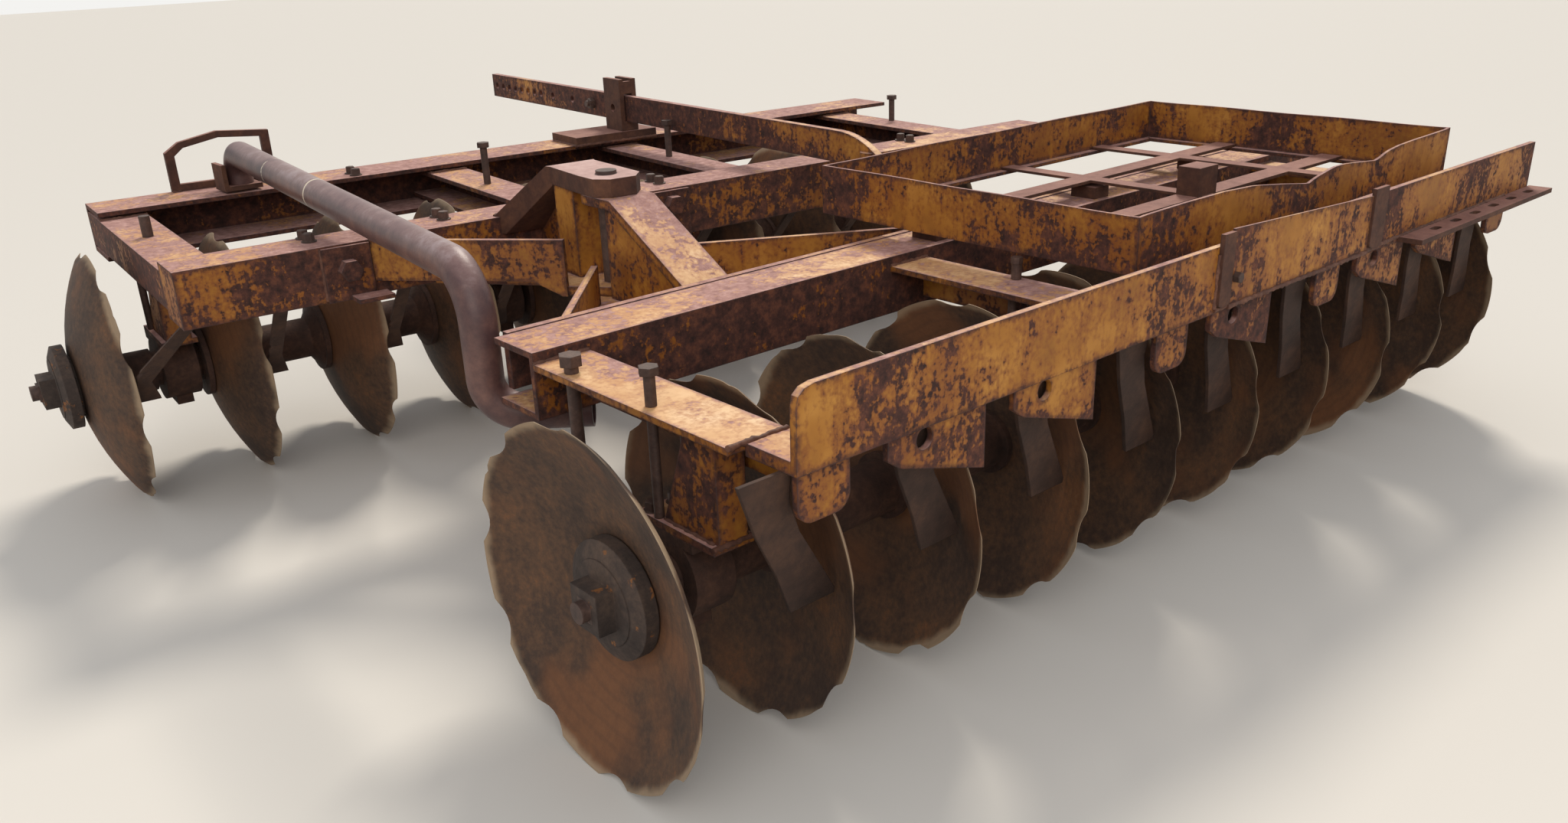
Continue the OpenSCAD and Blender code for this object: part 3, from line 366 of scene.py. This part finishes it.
def blade_steel(name, axle_point, yaw):
    """Pressed boron-steel blades, scoured by soil and then rusted: dark in the dish, with faint
    rings round the hub and a lighter band along the ground edge, worn bare and partly a painted
    highlight."""
    material, tree = new_material(name)
    coords = add(tree, "ShaderNodeTexCoord").outputs["Object"]
    centred = add(tree, "ShaderNodeVectorMath", {0: coords, 1: axle_point}, operation="SUBTRACT")
    turned = add(tree, "ShaderNodeVectorRotate", {"Vector": centred, "Angle": -yaw},
                 rotation_type="Z_AXIS")
    flat = add(tree, "ShaderNodeVectorMath", {0: turned, 1: (0.0, 1.0, 1.0)}, operation="MULTIPLY")
    radius = add(tree, "ShaderNodeVectorMath", {0: flat}, operation="LENGTH").outputs["Value"]

    broad = spots(tree, coords, 95, 4.0, 0.6)
    fine = spots(tree, coords, 7, 6.0, 0.74)
    tone = add(tree, "ShaderNodeMath", {0: broad, 1: 0.55}, operation="MULTIPLY")
    tone = add(tree, "ShaderNodeMath", {0: fine, 1: 0.45, 2: tone}, operation="MULTIPLY_ADD")
    colour = add(tree, "ShaderNodeValToRGB", {0: tone},
                 stops=[(0.30, "#241A15"), (0.45, "#402F25"), (0.56, "#5A402D"), (0.64, "#704A2E"),
                        (0.78, "#846446")])
    warm = add(tree, "ShaderNodeMapRange", {"Value": spots(tree, centred, 160, 3.0, 0.6),
                                            "From Min": 0.5, "From Max": 0.66, "To Max": 0.5},
               interpolation_type="SMOOTHSTEP")
    colour = add(tree, "ShaderNodeMix", {0: warm, 6: colour, 7: "#80512F"}, data_type="RGBA").outputs[2]

    # the light band, worn bare steel and partly a painted highlight, and the rings, some 24 mm apart,
    # both a little out of round
    wavy = add(tree, "ShaderNodeMath", {0: broad, 1: 0.05, 2: radius}, operation="MULTIPLY_ADD")
    band = add(tree, "ShaderNodeMapRange", {"Value": wavy, "From Min": 0.325, "From Max": 0.345,
                                            "To Max": 0.8}, interpolation_type="SMOOTHSTEP")
    colour = add(tree, "ShaderNodeMix", {0: band, 6: colour, 7: "#A99378"}, data_type="RGBA").outputs[2]
    ring = add(tree, "ShaderNodeMath", {0: wavy, 1: 260.0}, operation="MULTIPLY")
    ring = add(tree, "ShaderNodeMath", {0: ring}, operation="SINE")
    rings = add(tree, "ShaderNodeMapRange", {"Value": ring, "From Min": 0.2, "To Max": 0.16},
                interpolation_type="SMOOTHSTEP")
    colour = add(tree, "ShaderNodeMix", {0: rings, 6: colour, 7: "#3B2A22"}, data_type="RGBA").outputs[2]
    # pits drawn at 3 mm, several times too coarse, so that they show
    pits = spots(tree, coords, 3, 5.0, 0.75)
    surface(tree, colour, roughness=0.74, specular=0.4, height=pits, depth_mm=1.2, strength=0.5)
    return material


def finish_nodes(names, material):
    for name in names.split():
        mesh = nodes[name].data
        mesh.materials.clear()
        mesh.materials.append(material)


# --------------------------------------------------------------- pieces of the harrow
def settle(piece, body, stands_for=()):
    if stands_for:
        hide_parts(*stands_for)
    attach(piece, body)


def make_piece(name, work, material, smooth=None):
    """Closes a worked mesh, points its faces outwards and gives it its finish."""
    bmesh.ops.remove_doubles(work, verts=work.verts[:], dist=0.02 * MM)
    bmesh.ops.recalc_face_normals(work, faces=work.faces[:])
    mesh = bpy.data.meshes.new(name)
    work.to_mesh(mesh)
    work.free()
    mesh.materials.append(material)
    if smooth:
        mesh.polygons.foreach_set("use_smooth", [True] * len(mesh.polygons))
        mesh.set_sharp_from_angle(angle=math.radians(smooth))
    piece = bpy.data.objects.new(name, mesh)
    bpy.context.scene.collection.objects.link(piece)
    return piece


def join_rings(work, rings, closed=False):
    """Skins a row of rings of points with quads; closed joins the last ring to the first."""
    pairs = list(zip(rings, rings[1:]))
    if closed:
        pairs.append((rings[-1], rings[0]))
    for first, second in pairs:
        for i in range(len(first)):
            j = (i + 1) % len(first)
            work.faces.new((first[i], first[j], second[j], second[i]))


def scallop(angle):
    """Rim radius at an angle from the middle of a scallop."""
    step = 2 * math.pi / SCALLOPS
    angle = (angle + step / 2) % step - step / 2
    across = CUTTER_AT * math.sin(angle)
    if abs(across) >= CUTTER_R:
        return BLADE_R
    return min(BLADE_R, CUTTER_AT * math.cos(angle) - math.sqrt(CUTTER_R ** 2 - across ** 2))


def crown_height(r):
    """How far the dish's outer side has risen at a radius."""
    return max(0.0, DISH_R - FLAT_AT - math.sqrt(DISH_R ** 2 - r ** 2))


def hollow_height(r):
    """The same for its inner side."""
    return max(BLADE_T, DISH_R - FLAT_AT - math.sqrt((DISH_R - BLADE_T) ** 2 - r ** 2))


def add_blade(work, frame_place, hub, side, turn, chance):
    """One blade, with its own nicks and a slight wave left by hard ground. Its hollow looks along
    +X where side is 1, the other way where it is -1."""
    steps = 160
    ring_shares = (0.0, 0.142, 0.29, 0.43, 0.56, 0.68, 0.79, 0.88, 0.955, 1.0)
    wave, twist = chance.uniform(0, 6.28), chance.uniform(0, 6.28)
    nicks = [(chance.uniform(0, 6.28), chance.uniform(1.0, 3.4), chance.uniform(0.02, 0.06))
             for _ in range(6)]
    sides = {"hollow": [], "crown": []}
    for share in ring_shares:
        for face, rings in sides.items():
            ring = []
            for i in range(steps):
                angle = 2 * math.pi * i / steps
                rim = scallop(angle - turn)
                for at, depth, width in nicks:
                    off = (angle - at + math.pi) % (2 * math.pi) - math.pi
                    rim -= depth * math.exp(-(off / width) ** 2)
                r = HUB_R + (rim - HUB_R) * share
                z = hollow_height(r) if face == "hollow" or share == 1.0 else crown_height(r)
                if face == "crown" and share == 1.0:
                    z -= RIM_GRIND
                bend = (r / BLADE_R) ** 2
                z += 1.1 * bend * math.sin(2 * angle + wave) + 0.5 * bend * math.sin(5 * angle + twist)
                x, y = r * math.cos(angle), r * math.sin(angle)
                out = Vector((z, y, -x)) if side > 0 else Vector((-z, y, x))
                ring.append(work.verts.new(frame_place @ ((hub + out) * MM)))
            rings.append(ring)
    join_rings(work, sides["hollow"] + sides["crown"][::-1], closed=True)


def blade_row(name, frame_place, hub_x, axle_y, side, material, body, node, seed):
    """The blades of one gang, each turned on its own on the axle."""
    work = bmesh.new()
    chance = random.Random(seed)
    for k in range(BLADE_COUNT):
        hub = Vector((hub_x + PITCH * k, axle_y, AXLE_Z)) / MM
        add_blade(work, frame_place, hub, side, math.radians(18 + 47 * k + 10 * side), chance)
    settle(make_piece(name, work, material, 40), body, [node])


def along_table(table, x):
    """Reads a height off a table of (x, height) rows."""
    for (x0, v0), (x1, v1) in zip(table, table[1:]):
        if x <= x1:
            share = max(0.0, (x - x0) / (x1 - x0))
            return v0 + (v1 - v0) * share
    return table[-1][1]


def dented_tray(material):
    """Plate tray with a knocked-about top edge; its rear wall dips where ballast was tipped in."""
    x0, x1, y0, y1, base = 1032.0, 2419.0, 13.0, 910.0, 666.0
    wall_h, wall_t, lip, lip_t = 118.0, 7.0, 30.0, 9.0
    rim = base + wall_h
    rear_top = [(1032, 784), (1192, 787), (1334, 787), (1457, 780), (1589, 763), (1701, 747),
                (1733, 756), (1812, 769), (1867, 768), (2026, 753), (2056, 758), (2081, 767),
                (2140, 774), (2223, 778), (2412, 781)]
    # each wall's start, its end and the way to the inside, from the rear wall round
    walls = [((x0, y0), (x1, y0), (0, 1)), ((x1, y0), (x1, y1), (-1, 0)),
             ((x1, y1), (x0, y1), (0, -1)), ((x0, y1), (x0, y0), (1, 0))]
    work = bmesh.new()
    rings = []
    for n, (start, end, inward) in enumerate(walls):
        before = walls[n - 1][2]
        count = 60 if n % 2 == 0 else 38
        for i in range(count):
            share = i / count
            x = start[0] + (end[0] - start[0]) * share
            y = start[1] + (end[1] - start[1]) * share
            toward = Vector((*inward, 0))
            if i == 0:
                toward += Vector((*before, 0))
            ripple = 0.7 * math.sin(x * 0.011 + y * 0.017 + n)
            top = along_table(rear_top, x) if n == 0 else rim - 1.0 + ripple
            lean = 0.0
            if i > 0:
                lean = 0.25 * max(0.0, rim - top) + 1.6 * math.sin(x * 0.013 + y * 0.017 + n)
            section = [(0.0, base + (top - base) * h) for h in (0.0, 0.35, 0.7, 1.0)]
            section += [(wall_t, base + (top - base) * h) for h in (1.0, 0.7, 0.35)]
            section += [(wall_t, base + lip_t), (lip, base + lip_t), (lip, base)]
            ring = []
            for depth, z in section:
                bent = 0.0 if depth > wall_t else lean * ((z - base) / wall_h) ** 2
                spot = Vector((x, y, z)) + toward * (depth + bent)
                ring.append(work.verts.new(REAR @ (spot * MM)))
            rings.append(ring)
    join_rings(work, rings, closed=True)
    piece = make_piece("dented_tray_walls", work, material, 30)
    settle(piece, "rear_frame", ["tray_walls"])


def bent_path(points, bends, steps):
    """Points and directions along straight runs joined by round bends."""
    stations = [(points[0], (points[1] - points[0]).normalized())]
    for corner, radius in zip(range(1, len(points) - 1), bends):
        before = (points[corner] - points[corner - 1]).normalized()
        after = (points[corner + 1] - points[corner]).normalized()
        angle = before.angle(after)
        start = points[corner] - before * radius * math.tan(angle / 2)
        inward = (after - before * before.dot(after)).normalized()
        centre = start + inward * radius
        for k in range(steps + 1):
            t = angle * k / steps
            stations.append((centre - inward * radius * math.cos(t) + before * radius * math.sin(t),
                             before * math.cos(t) + inward * math.sin(t)))
    stations.append((points[-1], (points[-1] - points[-2]).normalized()))
    return stations


def ring_at(work, spot, ahead, aside, radius, sides):
    """A ring of points round a path, turned as little as can be from the one before."""
    over = ahead.cross(aside).normalized()
    aside = over.cross(ahead).normalized()
    turns = [2 * math.pi * k / sides for k in range(sides)]
    return [work.verts.new(REAR @ ((spot + radius * (aside * math.cos(a) + over * math.sin(a))) * MM))
            for a in turns], aside


def bent_pipe(material):
    """Scrap line pipe, bent hot: straight runs, tight bends and open ends."""
    outer_r, bore_r, bends = 36.5, 30.5, (70.0, 105.0, 62.0)
    low_z, rise_z, over_z, foot_z = 469.5, 748, 786, 700
    # the foot stands over the leading beam, seen from the rear frame
    foot = REAR.inverted() @ FRONT @ Vector((0.383, 0.850, 0.0)) / MM
    points = [Vector((160, 635, low_z)), Vector((2, 760, low_z)), Vector((3, 762, rise_z)),
              Vector((foot.x, foot.y, over_z)), Vector((foot.x, foot.y, foot_z))]
    work = bmesh.new()
    skins = []
    for radius in (outer_r, bore_r):
        aside = Vector((0, 0, 1))
        rings = []
        for spot, ahead in bent_path(points, bends, 14):
            ring, aside = ring_at(work, spot, ahead, aside, radius, 40)
            rings.append(ring)
        skins.append(rings)
    join_rings(work, skins[0] + skins[1][::-1], closed=True)
    settle(make_piece("bent_pipe", work, material, 35), "rear_frame", ["pipe_brace"])


def leaning_scrapers(material):
    """The front scrapers; the first stands beyond the beam's end, so its shank leans in to reach it."""
    first_ends_x, lean, lean_from_z, lean_rise = 0.045, 0.115, 0.40, 0.151
    work = bmesh.new()
    work.from_mesh(nodes["front_scrapers"].data)
    bmesh.ops.remove_doubles(work, verts=work.verts[:], dist=0.02 * MM)
    to_world = nodes["front_scrapers"].matrix_world
    for vert in work.verts:
        spot = FRONT.inverted() @ to_world @ vert.co
        if spot.x < first_ends_x:
            spot.x += lean * min(1.0, max(0.0, (spot.z - lean_from_z) / lean_rise))
        vert.co = FRONT @ spot
    piece = make_piece("leaning_front_scrapers", work, material)
    settle(piece, "front_frame", ["front_scrapers"])


def strap_plates(material):
    """Two burnt-off flats that hold the tray to the angle, round at the foot."""
    foot_z, foot_steps, thick = 604, 14, 10
    work = bmesh.new()
    for x0, x1, top in STRAPS:
        half = (x1 - x0) / 2
        outline = [(x0, top), (x1, top)]
        for k in range(foot_steps + 1):
            a = math.pi * k / foot_steps
            outline.append((x0 + half + half * math.cos(a),
                            foot_z + half * 0.5 - half * 0.5 * math.sin(a)))
        skins = [[work.verts.new(REAR @ (Vector((x, y, z)) * MM)) for x, z in outline]
                 for y in (ANGLE_FACE - thick, ANGLE_FACE)]
        join_rings(work, skins)
        for skin in skins:
            work.faces.new(skin)
    piece = make_piece("tray_strap_plates", work, material)
    settle(piece, "rear_frame", ["tray_straps"])


# --------------------------------------------------------------- bolts and weld beads
def tree_with_inputs(name, inputs):
    """A new tree with its named inputs, given as (label, kind, value) rows."""
    tree = bpy.data.node_groups.new(name, "GeometryNodeTree")
    tree.interface.new_socket("Geometry", in_out="INPUT", socket_type="NodeSocketGeometry")
    for label, kind, value in inputs:
        socket = tree.interface.new_socket(label, in_out="INPUT", socket_type="NodeSocket" + kind)
        if value is not None:
            socket.default_value = value
    tree.interface.new_socket("Geometry", in_out="OUTPUT", socket_type="NodeSocketGeometry")
    return tree, add(tree, "NodeGroupInput").outputs


def close_tree(tree, made, finish):
    """Makes real what the tree built, and gives it its finish."""
    real = add(tree, "GeometryNodeRealizeInstances", {"Geometry": made})
    done = add(tree, "GeometryNodeSetMaterial", {"Geometry": real, "Material": finish})
    add(tree, "NodeGroupOutput", {"Geometry": done})
    return tree


def hex_bolt_tree():
    """Hexagon heads on washers, one at each point; the point's axis and size turn and scale it.
    Every length is a share of the head's width over its corners."""
    washer_t, chamfer_h, chamfer_r = 0.1, 0.09, 0.86
    tree, given = tree_with_inputs("hex_bolts", [
        ("Head width", "Float", 1.0), ("Head height", "Float", 0.6), ("Washer width", "Float", 1.3),
        ("Seed", "Int", 1), ("Finish", "Material", None)])
    half = add(tree, "ShaderNodeMath", {0: given["Head width"], 1: 0.5}, operation="MULTIPLY")
    top_half = add(tree, "ShaderNodeMath", {0: half, 1: chamfer_r}, operation="MULTIPLY")
    washer_half = add(tree, "ShaderNodeMath", {0: given["Washer width"], 1: 0.5}, operation="MULTIPLY")
    head = add(tree, "GeometryNodeMeshCylinder", {"Vertices": 6, "Radius": half,
                                                  "Depth": given["Head height"]})
    crown = add(tree, "GeometryNodeMeshCone", {"Vertices": 6, "Radius Bottom": half,
                                               "Radius Top": top_half, "Depth": chamfer_h})
    washer = add(tree, "GeometryNodeMeshCylinder", {"Vertices": 20, "Radius": washer_half,
                                                    "Depth": washer_t})
    mid_head = add(tree, "ShaderNodeMath", {0: given["Head height"], 1: 0.5, 2: washer_t},
                   operation="MULTIPLY_ADD")
    head_top = add(tree, "ShaderNodeMath", {0: given["Head height"], 1: washer_t}, operation="ADD")
    bolt = add(tree, "GeometryNodeJoinGeometry")
    for part, height in ((head, mid_head), (crown, head_top), (washer, washer_t / 2)):
        offset = add(tree, "ShaderNodeCombineXYZ", {"Z": height})
        raised = add(tree, "GeometryNodeTransform", {"Geometry": part, "Translation": offset})
        tree.links.new(raised.outputs[0], bolt.inputs[0])
    axis = add(tree, "GeometryNodeInputNamedAttribute", {"Name": "axis"}, data_type="FLOAT_VECTOR")
    size = add(tree, "GeometryNodeInputNamedAttribute", {"Name": "size"}, data_type="FLOAT")
    spin = add(tree, "FunctionNodeRandomValue", {2: 0.0, 3: math.pi / 3, "Seed": given["Seed"]},
               data_type="FLOAT").outputs[1]
    aimed = add(tree, "FunctionNodeAlignRotationToVector", {"Vector": axis}, axis="Z")
    turned = add(tree, "FunctionNodeAxisAngleToRotation", {"Axis": (0.0, 0.0, 1.0), "Angle": spin})
    rotation = add(tree, "FunctionNodeRotateRotation", {"Rotation": aimed, "Rotate By": turned},
                   rotation_space="LOCAL")
    placed = add(tree, "GeometryNodeInstanceOnPoints", {
        "Points": given["Geometry"], "Instance": bolt, "Rotation": rotation, "Scale": size})
    return close_tree(tree, placed, given["Finish"])


def weld_bead_tree():
    """A rippled stick-weld bead along every seam line. Real ripples are 2 mm apart, drawn at
    Ripple's 6 mm so that they show."""
    stray = 1.1 * MM
    tree, given = tree_with_inputs("weld_beads", [
        ("Bead width", "Float", 0.010), ("Ripple", "Float", 0.007), ("Seed", "Int", 1),
        ("Finish", "Material", None)])
    line = add(tree, "GeometryNodeMeshToCurve", {"Mesh": given["Geometry"]})
    ripples = add(tree, "GeometryNodeResampleCurve", {"Curve": line, "Length": given["Ripple"]},
                  mode="LENGTH")
    shake = add(tree, "FunctionNodeRandomValue", {0: (-stray,) * 3, 1: (stray,) * 3,
                                                  "Seed": given["Seed"]}, data_type="FLOAT_VECTOR")
    wavy = add(tree, "GeometryNodeSetPosition", {"Geometry": ripples, "Offset": shake})
    swell = add(tree, "FunctionNodeRandomValue", {2: 0.72, 3: 1.15, "Seed": given["Seed"]},
                data_type="FLOAT").outputs[1]
    half = add(tree, "ShaderNodeMath", {0: given["Bead width"], 1: 0.5}, operation="MULTIPLY")
    ring = add(tree, "GeometryNodeCurvePrimitiveCircle", {"Resolution": 7, "Radius": half})
    skin = add(tree, "GeometryNodeCurveToMesh", {"Curve": wavy, "Profile Curve": ring, "Scale": swell,
                                                 "Fill Caps": True})
    return close_tree(tree, skin, given["Finish"])


def grow(name, tree, mesh, values, body):
    """Runs a tree on a start mesh and keeps what it makes as a plain mesh."""
    start = bpy.data.objects.new(name + "_start", mesh)
    bpy.context.scene.collection.objects.link(start)
    modifier = start.modifiers.new("grow", "NODES")
    modifier.node_group = tree
    for item in tree.interface.items_tree:
        if item.item_type == "SOCKET" and item.in_out == "INPUT" and item.name in values:
            modifier[item.identifier] = values[item.name]
    grown = bpy.data.meshes.new_from_object(start.evaluated_get(bpy.context.evaluated_depsgraph_get()))
    bpy.data.objects.remove(start)
    grown.name = name
    piece = bpy.data.objects.new(name, grown)
    bpy.context.scene.collection.objects.link(piece)
    settle(piece, body)


def bolt_points(name, place, rows_mm):
    """Start points from (x, y, z, axis, size) rows in a frame's own millimetres."""
    mesh = bpy.data.meshes.new(name)
    mesh.from_pydata([place @ (Vector(row[:3]) * MM) for row in rows_mm], [], [])
    mesh.attributes.new("axis", "FLOAT_VECTOR", "POINT")
    mesh.attributes.new("size", "FLOAT", "POINT")
    turn = place.to_3x3()
    axes = [part for row in rows_mm for part in turn @ Vector(row[3])]
    mesh.attributes["axis"].data.foreach_set("vector", axes)
    mesh.attributes["size"].data.foreach_set("value", [row[4] * MM for row in rows_mm])
    return mesh


def seam_lines(name, place, lines_mm):
    """Lines from the two ends of each seam, in a frame's own millimetres."""
    mesh = bpy.data.meshes.new(name)
    points = [place @ (Vector(point) * MM) for line in lines_mm for point in line]
    mesh.from_pydata(points, [(2 * k, 2 * k + 1) for k in range(len(lines_mm))], [])
    return mesh


def seam_across(x0, x1, y, z):
    """A seam that runs along the beams."""
    return [(x0, y, z), (x1, y, z)]


def seam_ahead(x, y0, y1, z):
    """A seam that runs the way the harrow is towed."""
    return [(x, y0, z), (x, y1, z)]


def seam_up(x, y, z0, z1):
    """A seam up the side of a piece."""
    return [(x, y, z0), (x, y, z1)]


# --------------------------------------------------------------- the making
aim_camera()
light_scene()
lay_floor()

# enamel, from the pieces that keep most of it to those that have lost nearly all: where its
# pattern is cut from, then how much is gone from the walls and from the tops
tray_paint = weathered_enamel("enamel_on_tray", 7.7, 0.34, 0.60)
hinge_paint = weathered_enamel("enamel_on_hinge_plates", 6.6, 0.36, 0.42)
rear_paint = weathered_enamel("enamel_on_angle", 2.6, 0.50, 0.50)
front_paint = weathered_enamel("enamel_on_front_beam", 0.0, 0.55, 0.68)
bar_paint = weathered_enamel("enamel_on_angle_bar", 8.8, 0.72, 0.75)
lead_paint = weathered_enamel("enamel_nearly_gone", 1.7, 0.88, 0.72)
beam_paint = weathered_enamel("enamel_on_main_beam", 4.6, 0.90, 0.50)

# flats and tube as rolled: brown rust over mill scale, the tops painted paler and redder as sunlight
BROWN = [(0.30, "#2C1D18"), (0.48, "#4A2F25"), (0.62, "#63412F"), (0.78, "#815640")]
brown_steel = rusted_steel("rusted_hot_rolled_steel", 1.3, BROWN,
                           sunlit_top_stops=[(0.30, "#6E4A42"), (0.52, "#936A5F"), (0.78, "#B08673")])
# thick plate cut by the torch: the same rust, its broad top painted almost pink as sunlight
lug_steel = rusted_steel("rusted_flame_cut_plate", 7.1, BROWN,
                         sunlit_top_stops=[(0.30, "#9A7B74"), (0.52, "#C09E97"), (0.78, "#DCC2BA")])
# spring steel: rust made very dark as painted shade
shaded_scraper_steel = rusted_steel("rusted_spring_steel_painted_shade", 9.3,
                             [(0.30, "#231813"), (0.5, "#3C2A22"), (0.7, "#573D2E")], size_mm=16)
# sand-cast iron: a coarse dark skin; the end castings keep flecks of enamel
casting = rusted_steel("rusted_grey_iron_casting", 2.2,
                       [(0.3, "#241813"), (0.5, "#402A21"), (0.7, "#5E4030")], size_mm=9, flake=0.8)
end_casting = rusted_steel("rusted_end_casting", 3.6,
                           [(0.3, "#211B19"), (0.5, "#3D322D"), (0.7, "#5C4A3E")], size_mm=10,
                           flake=0.7, flecks="#80522C")
# forged bolts: tight, fine rust with a dull sheen; weld metal: redder and lighter
bolt_steel = rusted_steel("rusted_bolt_steel", 4.1,
                          [(0.3, "#2B201D"), (0.5, "#49362F"), (0.75, "#6E5347")], size_mm=6,
                          roughness=0.62)
weld_metal = rusted_steel("rusted_weld_metal", 8.2,
                          [(0.3, "#3A2620"), (0.5, "#5A3A2E"), (0.75, "#8A5F48")], size_mm=6,
                          roughness=0.7)
# drawn line pipe: a smooth, purplish skin that shines a little, painted paler along its top as sunlight
pipe_steel = rusted_steel("rusted_line_pipe", 6.4,
                          [(0.34, "#38242A"), (0.5, "#553C3A"), (0.66, "#74534A")], size_mm=22,
                          roughness=0.42, flake=0.35,
                          sunlit_top_stops=[(0.34, "#5E4346"), (0.5, "#7D6260"), (0.66, "#A39294")],
                          scuffs_y=(0.107, 0.439))
# blades, with their bands and rings round each gang's own axle
front_blades = blade_steel("soil_worn_blade_front", FRONT @ Vector((0.0, FRONT_AXLE_Y, AXLE_Z)),
                           yaw=FRONT_YAW)
rear_blades = blade_steel("soil_worn_blade_rear", REAR @ Vector((0.0, REAR_AXLE_Y, AXLE_Z)), yaw=0.0)

finish_nodes("front_rear_beam front_standards front_face_plates", front_paint)
finish_nodes("front_lead_beam front_cross_members", lead_paint)
finish_nodes("rear_beam rear_face_plate", beam_paint)
finish_nodes("front_a_frame rear_lug rear_a_frame rear_cross_members", hinge_paint)
finish_nodes("rear_angle rear_standards rear_tabs rear_brackets", rear_paint)
finish_nodes("patch_panel", tray_paint)
finish_nodes("angle_bar", bar_paint)
finish_nodes("front_lug", lug_steel)
finish_nodes("rear_scrapers", shaded_scraper_steel)
finish_nodes("bail guide_base guide_cheeks bar_tongue tray_floor tray_cleats pipe_shoe slotted_flange",
             brown_steel)
finish_nodes("front_bearings rear_bearings front_spools rear_spools", casting)
finish_nodes("front_end_nuts rear_end_nuts", end_casting)
finish_nodes("kingpin front_long_bolts rear_long_bolts stop_bolt front_axle rear_axle", bolt_steel)

blade_row("worn_front_blades", FRONT, FRONT_HUB_X, FRONT_AXLE_Y, 1, front_blades, "front_gang",
          "front_discs", seed=11)
blade_row("worn_rear_blades", REAR, REAR_HUB_X, REAR_AXLE_Y, -1, rear_blades, "rear_gang",
          "rear_discs", seed=12)
dented_tray(tray_paint)
bent_pipe(pipe_steel)
leaning_scrapers(shaded_scraper_steel)
strap_plates(brown_steel)

# bolts on the front beams, on the angle's face and leaf, and on the bearing housings: x, y, z,
# the way the head points and its width
front_bolts = [(x, y, FRONT_TOP, UP, 27) for x in (318, 648, 1270, 1900, 2190) for y in (42, 86)]
front_bolts += [(x, y, FRONT_TOP, UP, 27) for x in (700, 2100) for y in (820, 864)]
rear_bolts = [(1192, ANGLE_FACE, 657, BACK, 24)]
rear_bolts += [(x, -62, CROSS_TOP, UP, 24) for x in (430, 700, 2470)]
for x in BEARING_X:
    for aside in (-24, 24):
        for rows, axle_y in ((front_bolts, FRONT_AXLE_Y), (rear_bolts, REAR_AXLE_Y)):
            rows.append((x + aside, axle_y / MM + HOUSING_BOLT_AHEAD, HOUSING_TOP, UP, 26))
bolts = hex_bolt_tree()
for body, place, rows in (("front_frame", FRONT, front_bolts), ("rear_frame", REAR, rear_bolts)):
    grow(body + "_bolts", bolts, bolt_points(body + "_bolt_points", place, rows),
         {"Head height": 0.58, "Seed": 4, "Finish": bolt_steel}, body)

# weld seams: cross-members, standards and tabs at the bearings, then tabs between them
front_seams, rear_seams = [], []
for x in BEARING_X:
    mid = max(x, CROSS_W / 2)
    left, right = mid - 59, mid + 59
    front_seams += [seam_across(left, right, y, FRONT_CROSS_TOP)
                    for y in (FRONT_BEAM_AHEAD, LEAD_BEAM_BACK)]
    rear_seams += [seam_across(left, right, y, CROSS_TOP) for y in (REAR_BEAM_BACK, LEAF_AHEAD)]
    rear_seams += [seam_ahead(x - 30, 95, 229, HOUSING_TOP), seam_across(x - 42, x + 42, 83, HOUSING_TOP),
                   seam_across(x - 13, x + 94, ANGLE_BACK, LEAF_UNDER)]
rear_seams += [seam_across(x - 129, x + 102, ANGLE_BACK, LEAF_UNDER) for x in PLAIN_X]
# the hinge frame on the face plate, the plate's ends, the straps, the patch panel and the flange
rear_seams += [seam_across(462, 584, FACE_PLATE_AHEAD, 624), seam_up(174, FACE_PLATE_AHEAD, 527, 636),
               seam_up(1178, FACE_PLATE_AHEAD, 527, 636), seam_across(1131, 1172, ANGLE_FACE, 601),
               seam_across(1756, 1818, ANGLE_FACE, 601), seam_up(1131, ANGLE_FACE, 604, 712),
               seam_up(1818, ANGLE_FACE, 604, 708), seam_across(1173, 1755, ANGLE_FACE - 5, 600),
               seam_across(1757, 2530, ANGLE_FACE, 605)]
# the upper lug, the face plates' ends, the guide's base, the bail's feet and the pads
front_seams += [seam_across(756, 996, -16, FRONT_TOP), seam_up(434, FRONT_BEAM_BACK, 584, FRONT_TOP),
                seam_up(1176, FRONT_BEAM_BACK, 584, FRONT_TOP),
                seam_across(GUIDE_LEFT, GUIDE_RIGHT, GUIDE_BACK, FRONT_TOP),
                seam_ahead(GUIDE_LEFT, GUIDE_BACK, GUIDE_AHEAD, FRONT_TOP),
                seam_across(222, 246, BAIL_Y, FRONT_TOP), seam_across(486, 510, BAIL_Y, FRONT_TOP)]
front_seams += [seam_up(pad + half, FRONT_BEAM_BACK, 677, 556)
                for pad in (372, 1253) for half in (-56, 56)]
welds = weld_bead_tree()
for body, place, lines in (("front_frame", FRONT, front_seams), ("rear_frame", REAR, rear_seams)):
    grow(body + "_welds", welds, seam_lines(body + "_seams", place, lines),
         {"Bead width": 0.011, "Ripple": 0.006, "Seed": 9, "Finish": weld_metal}, body)
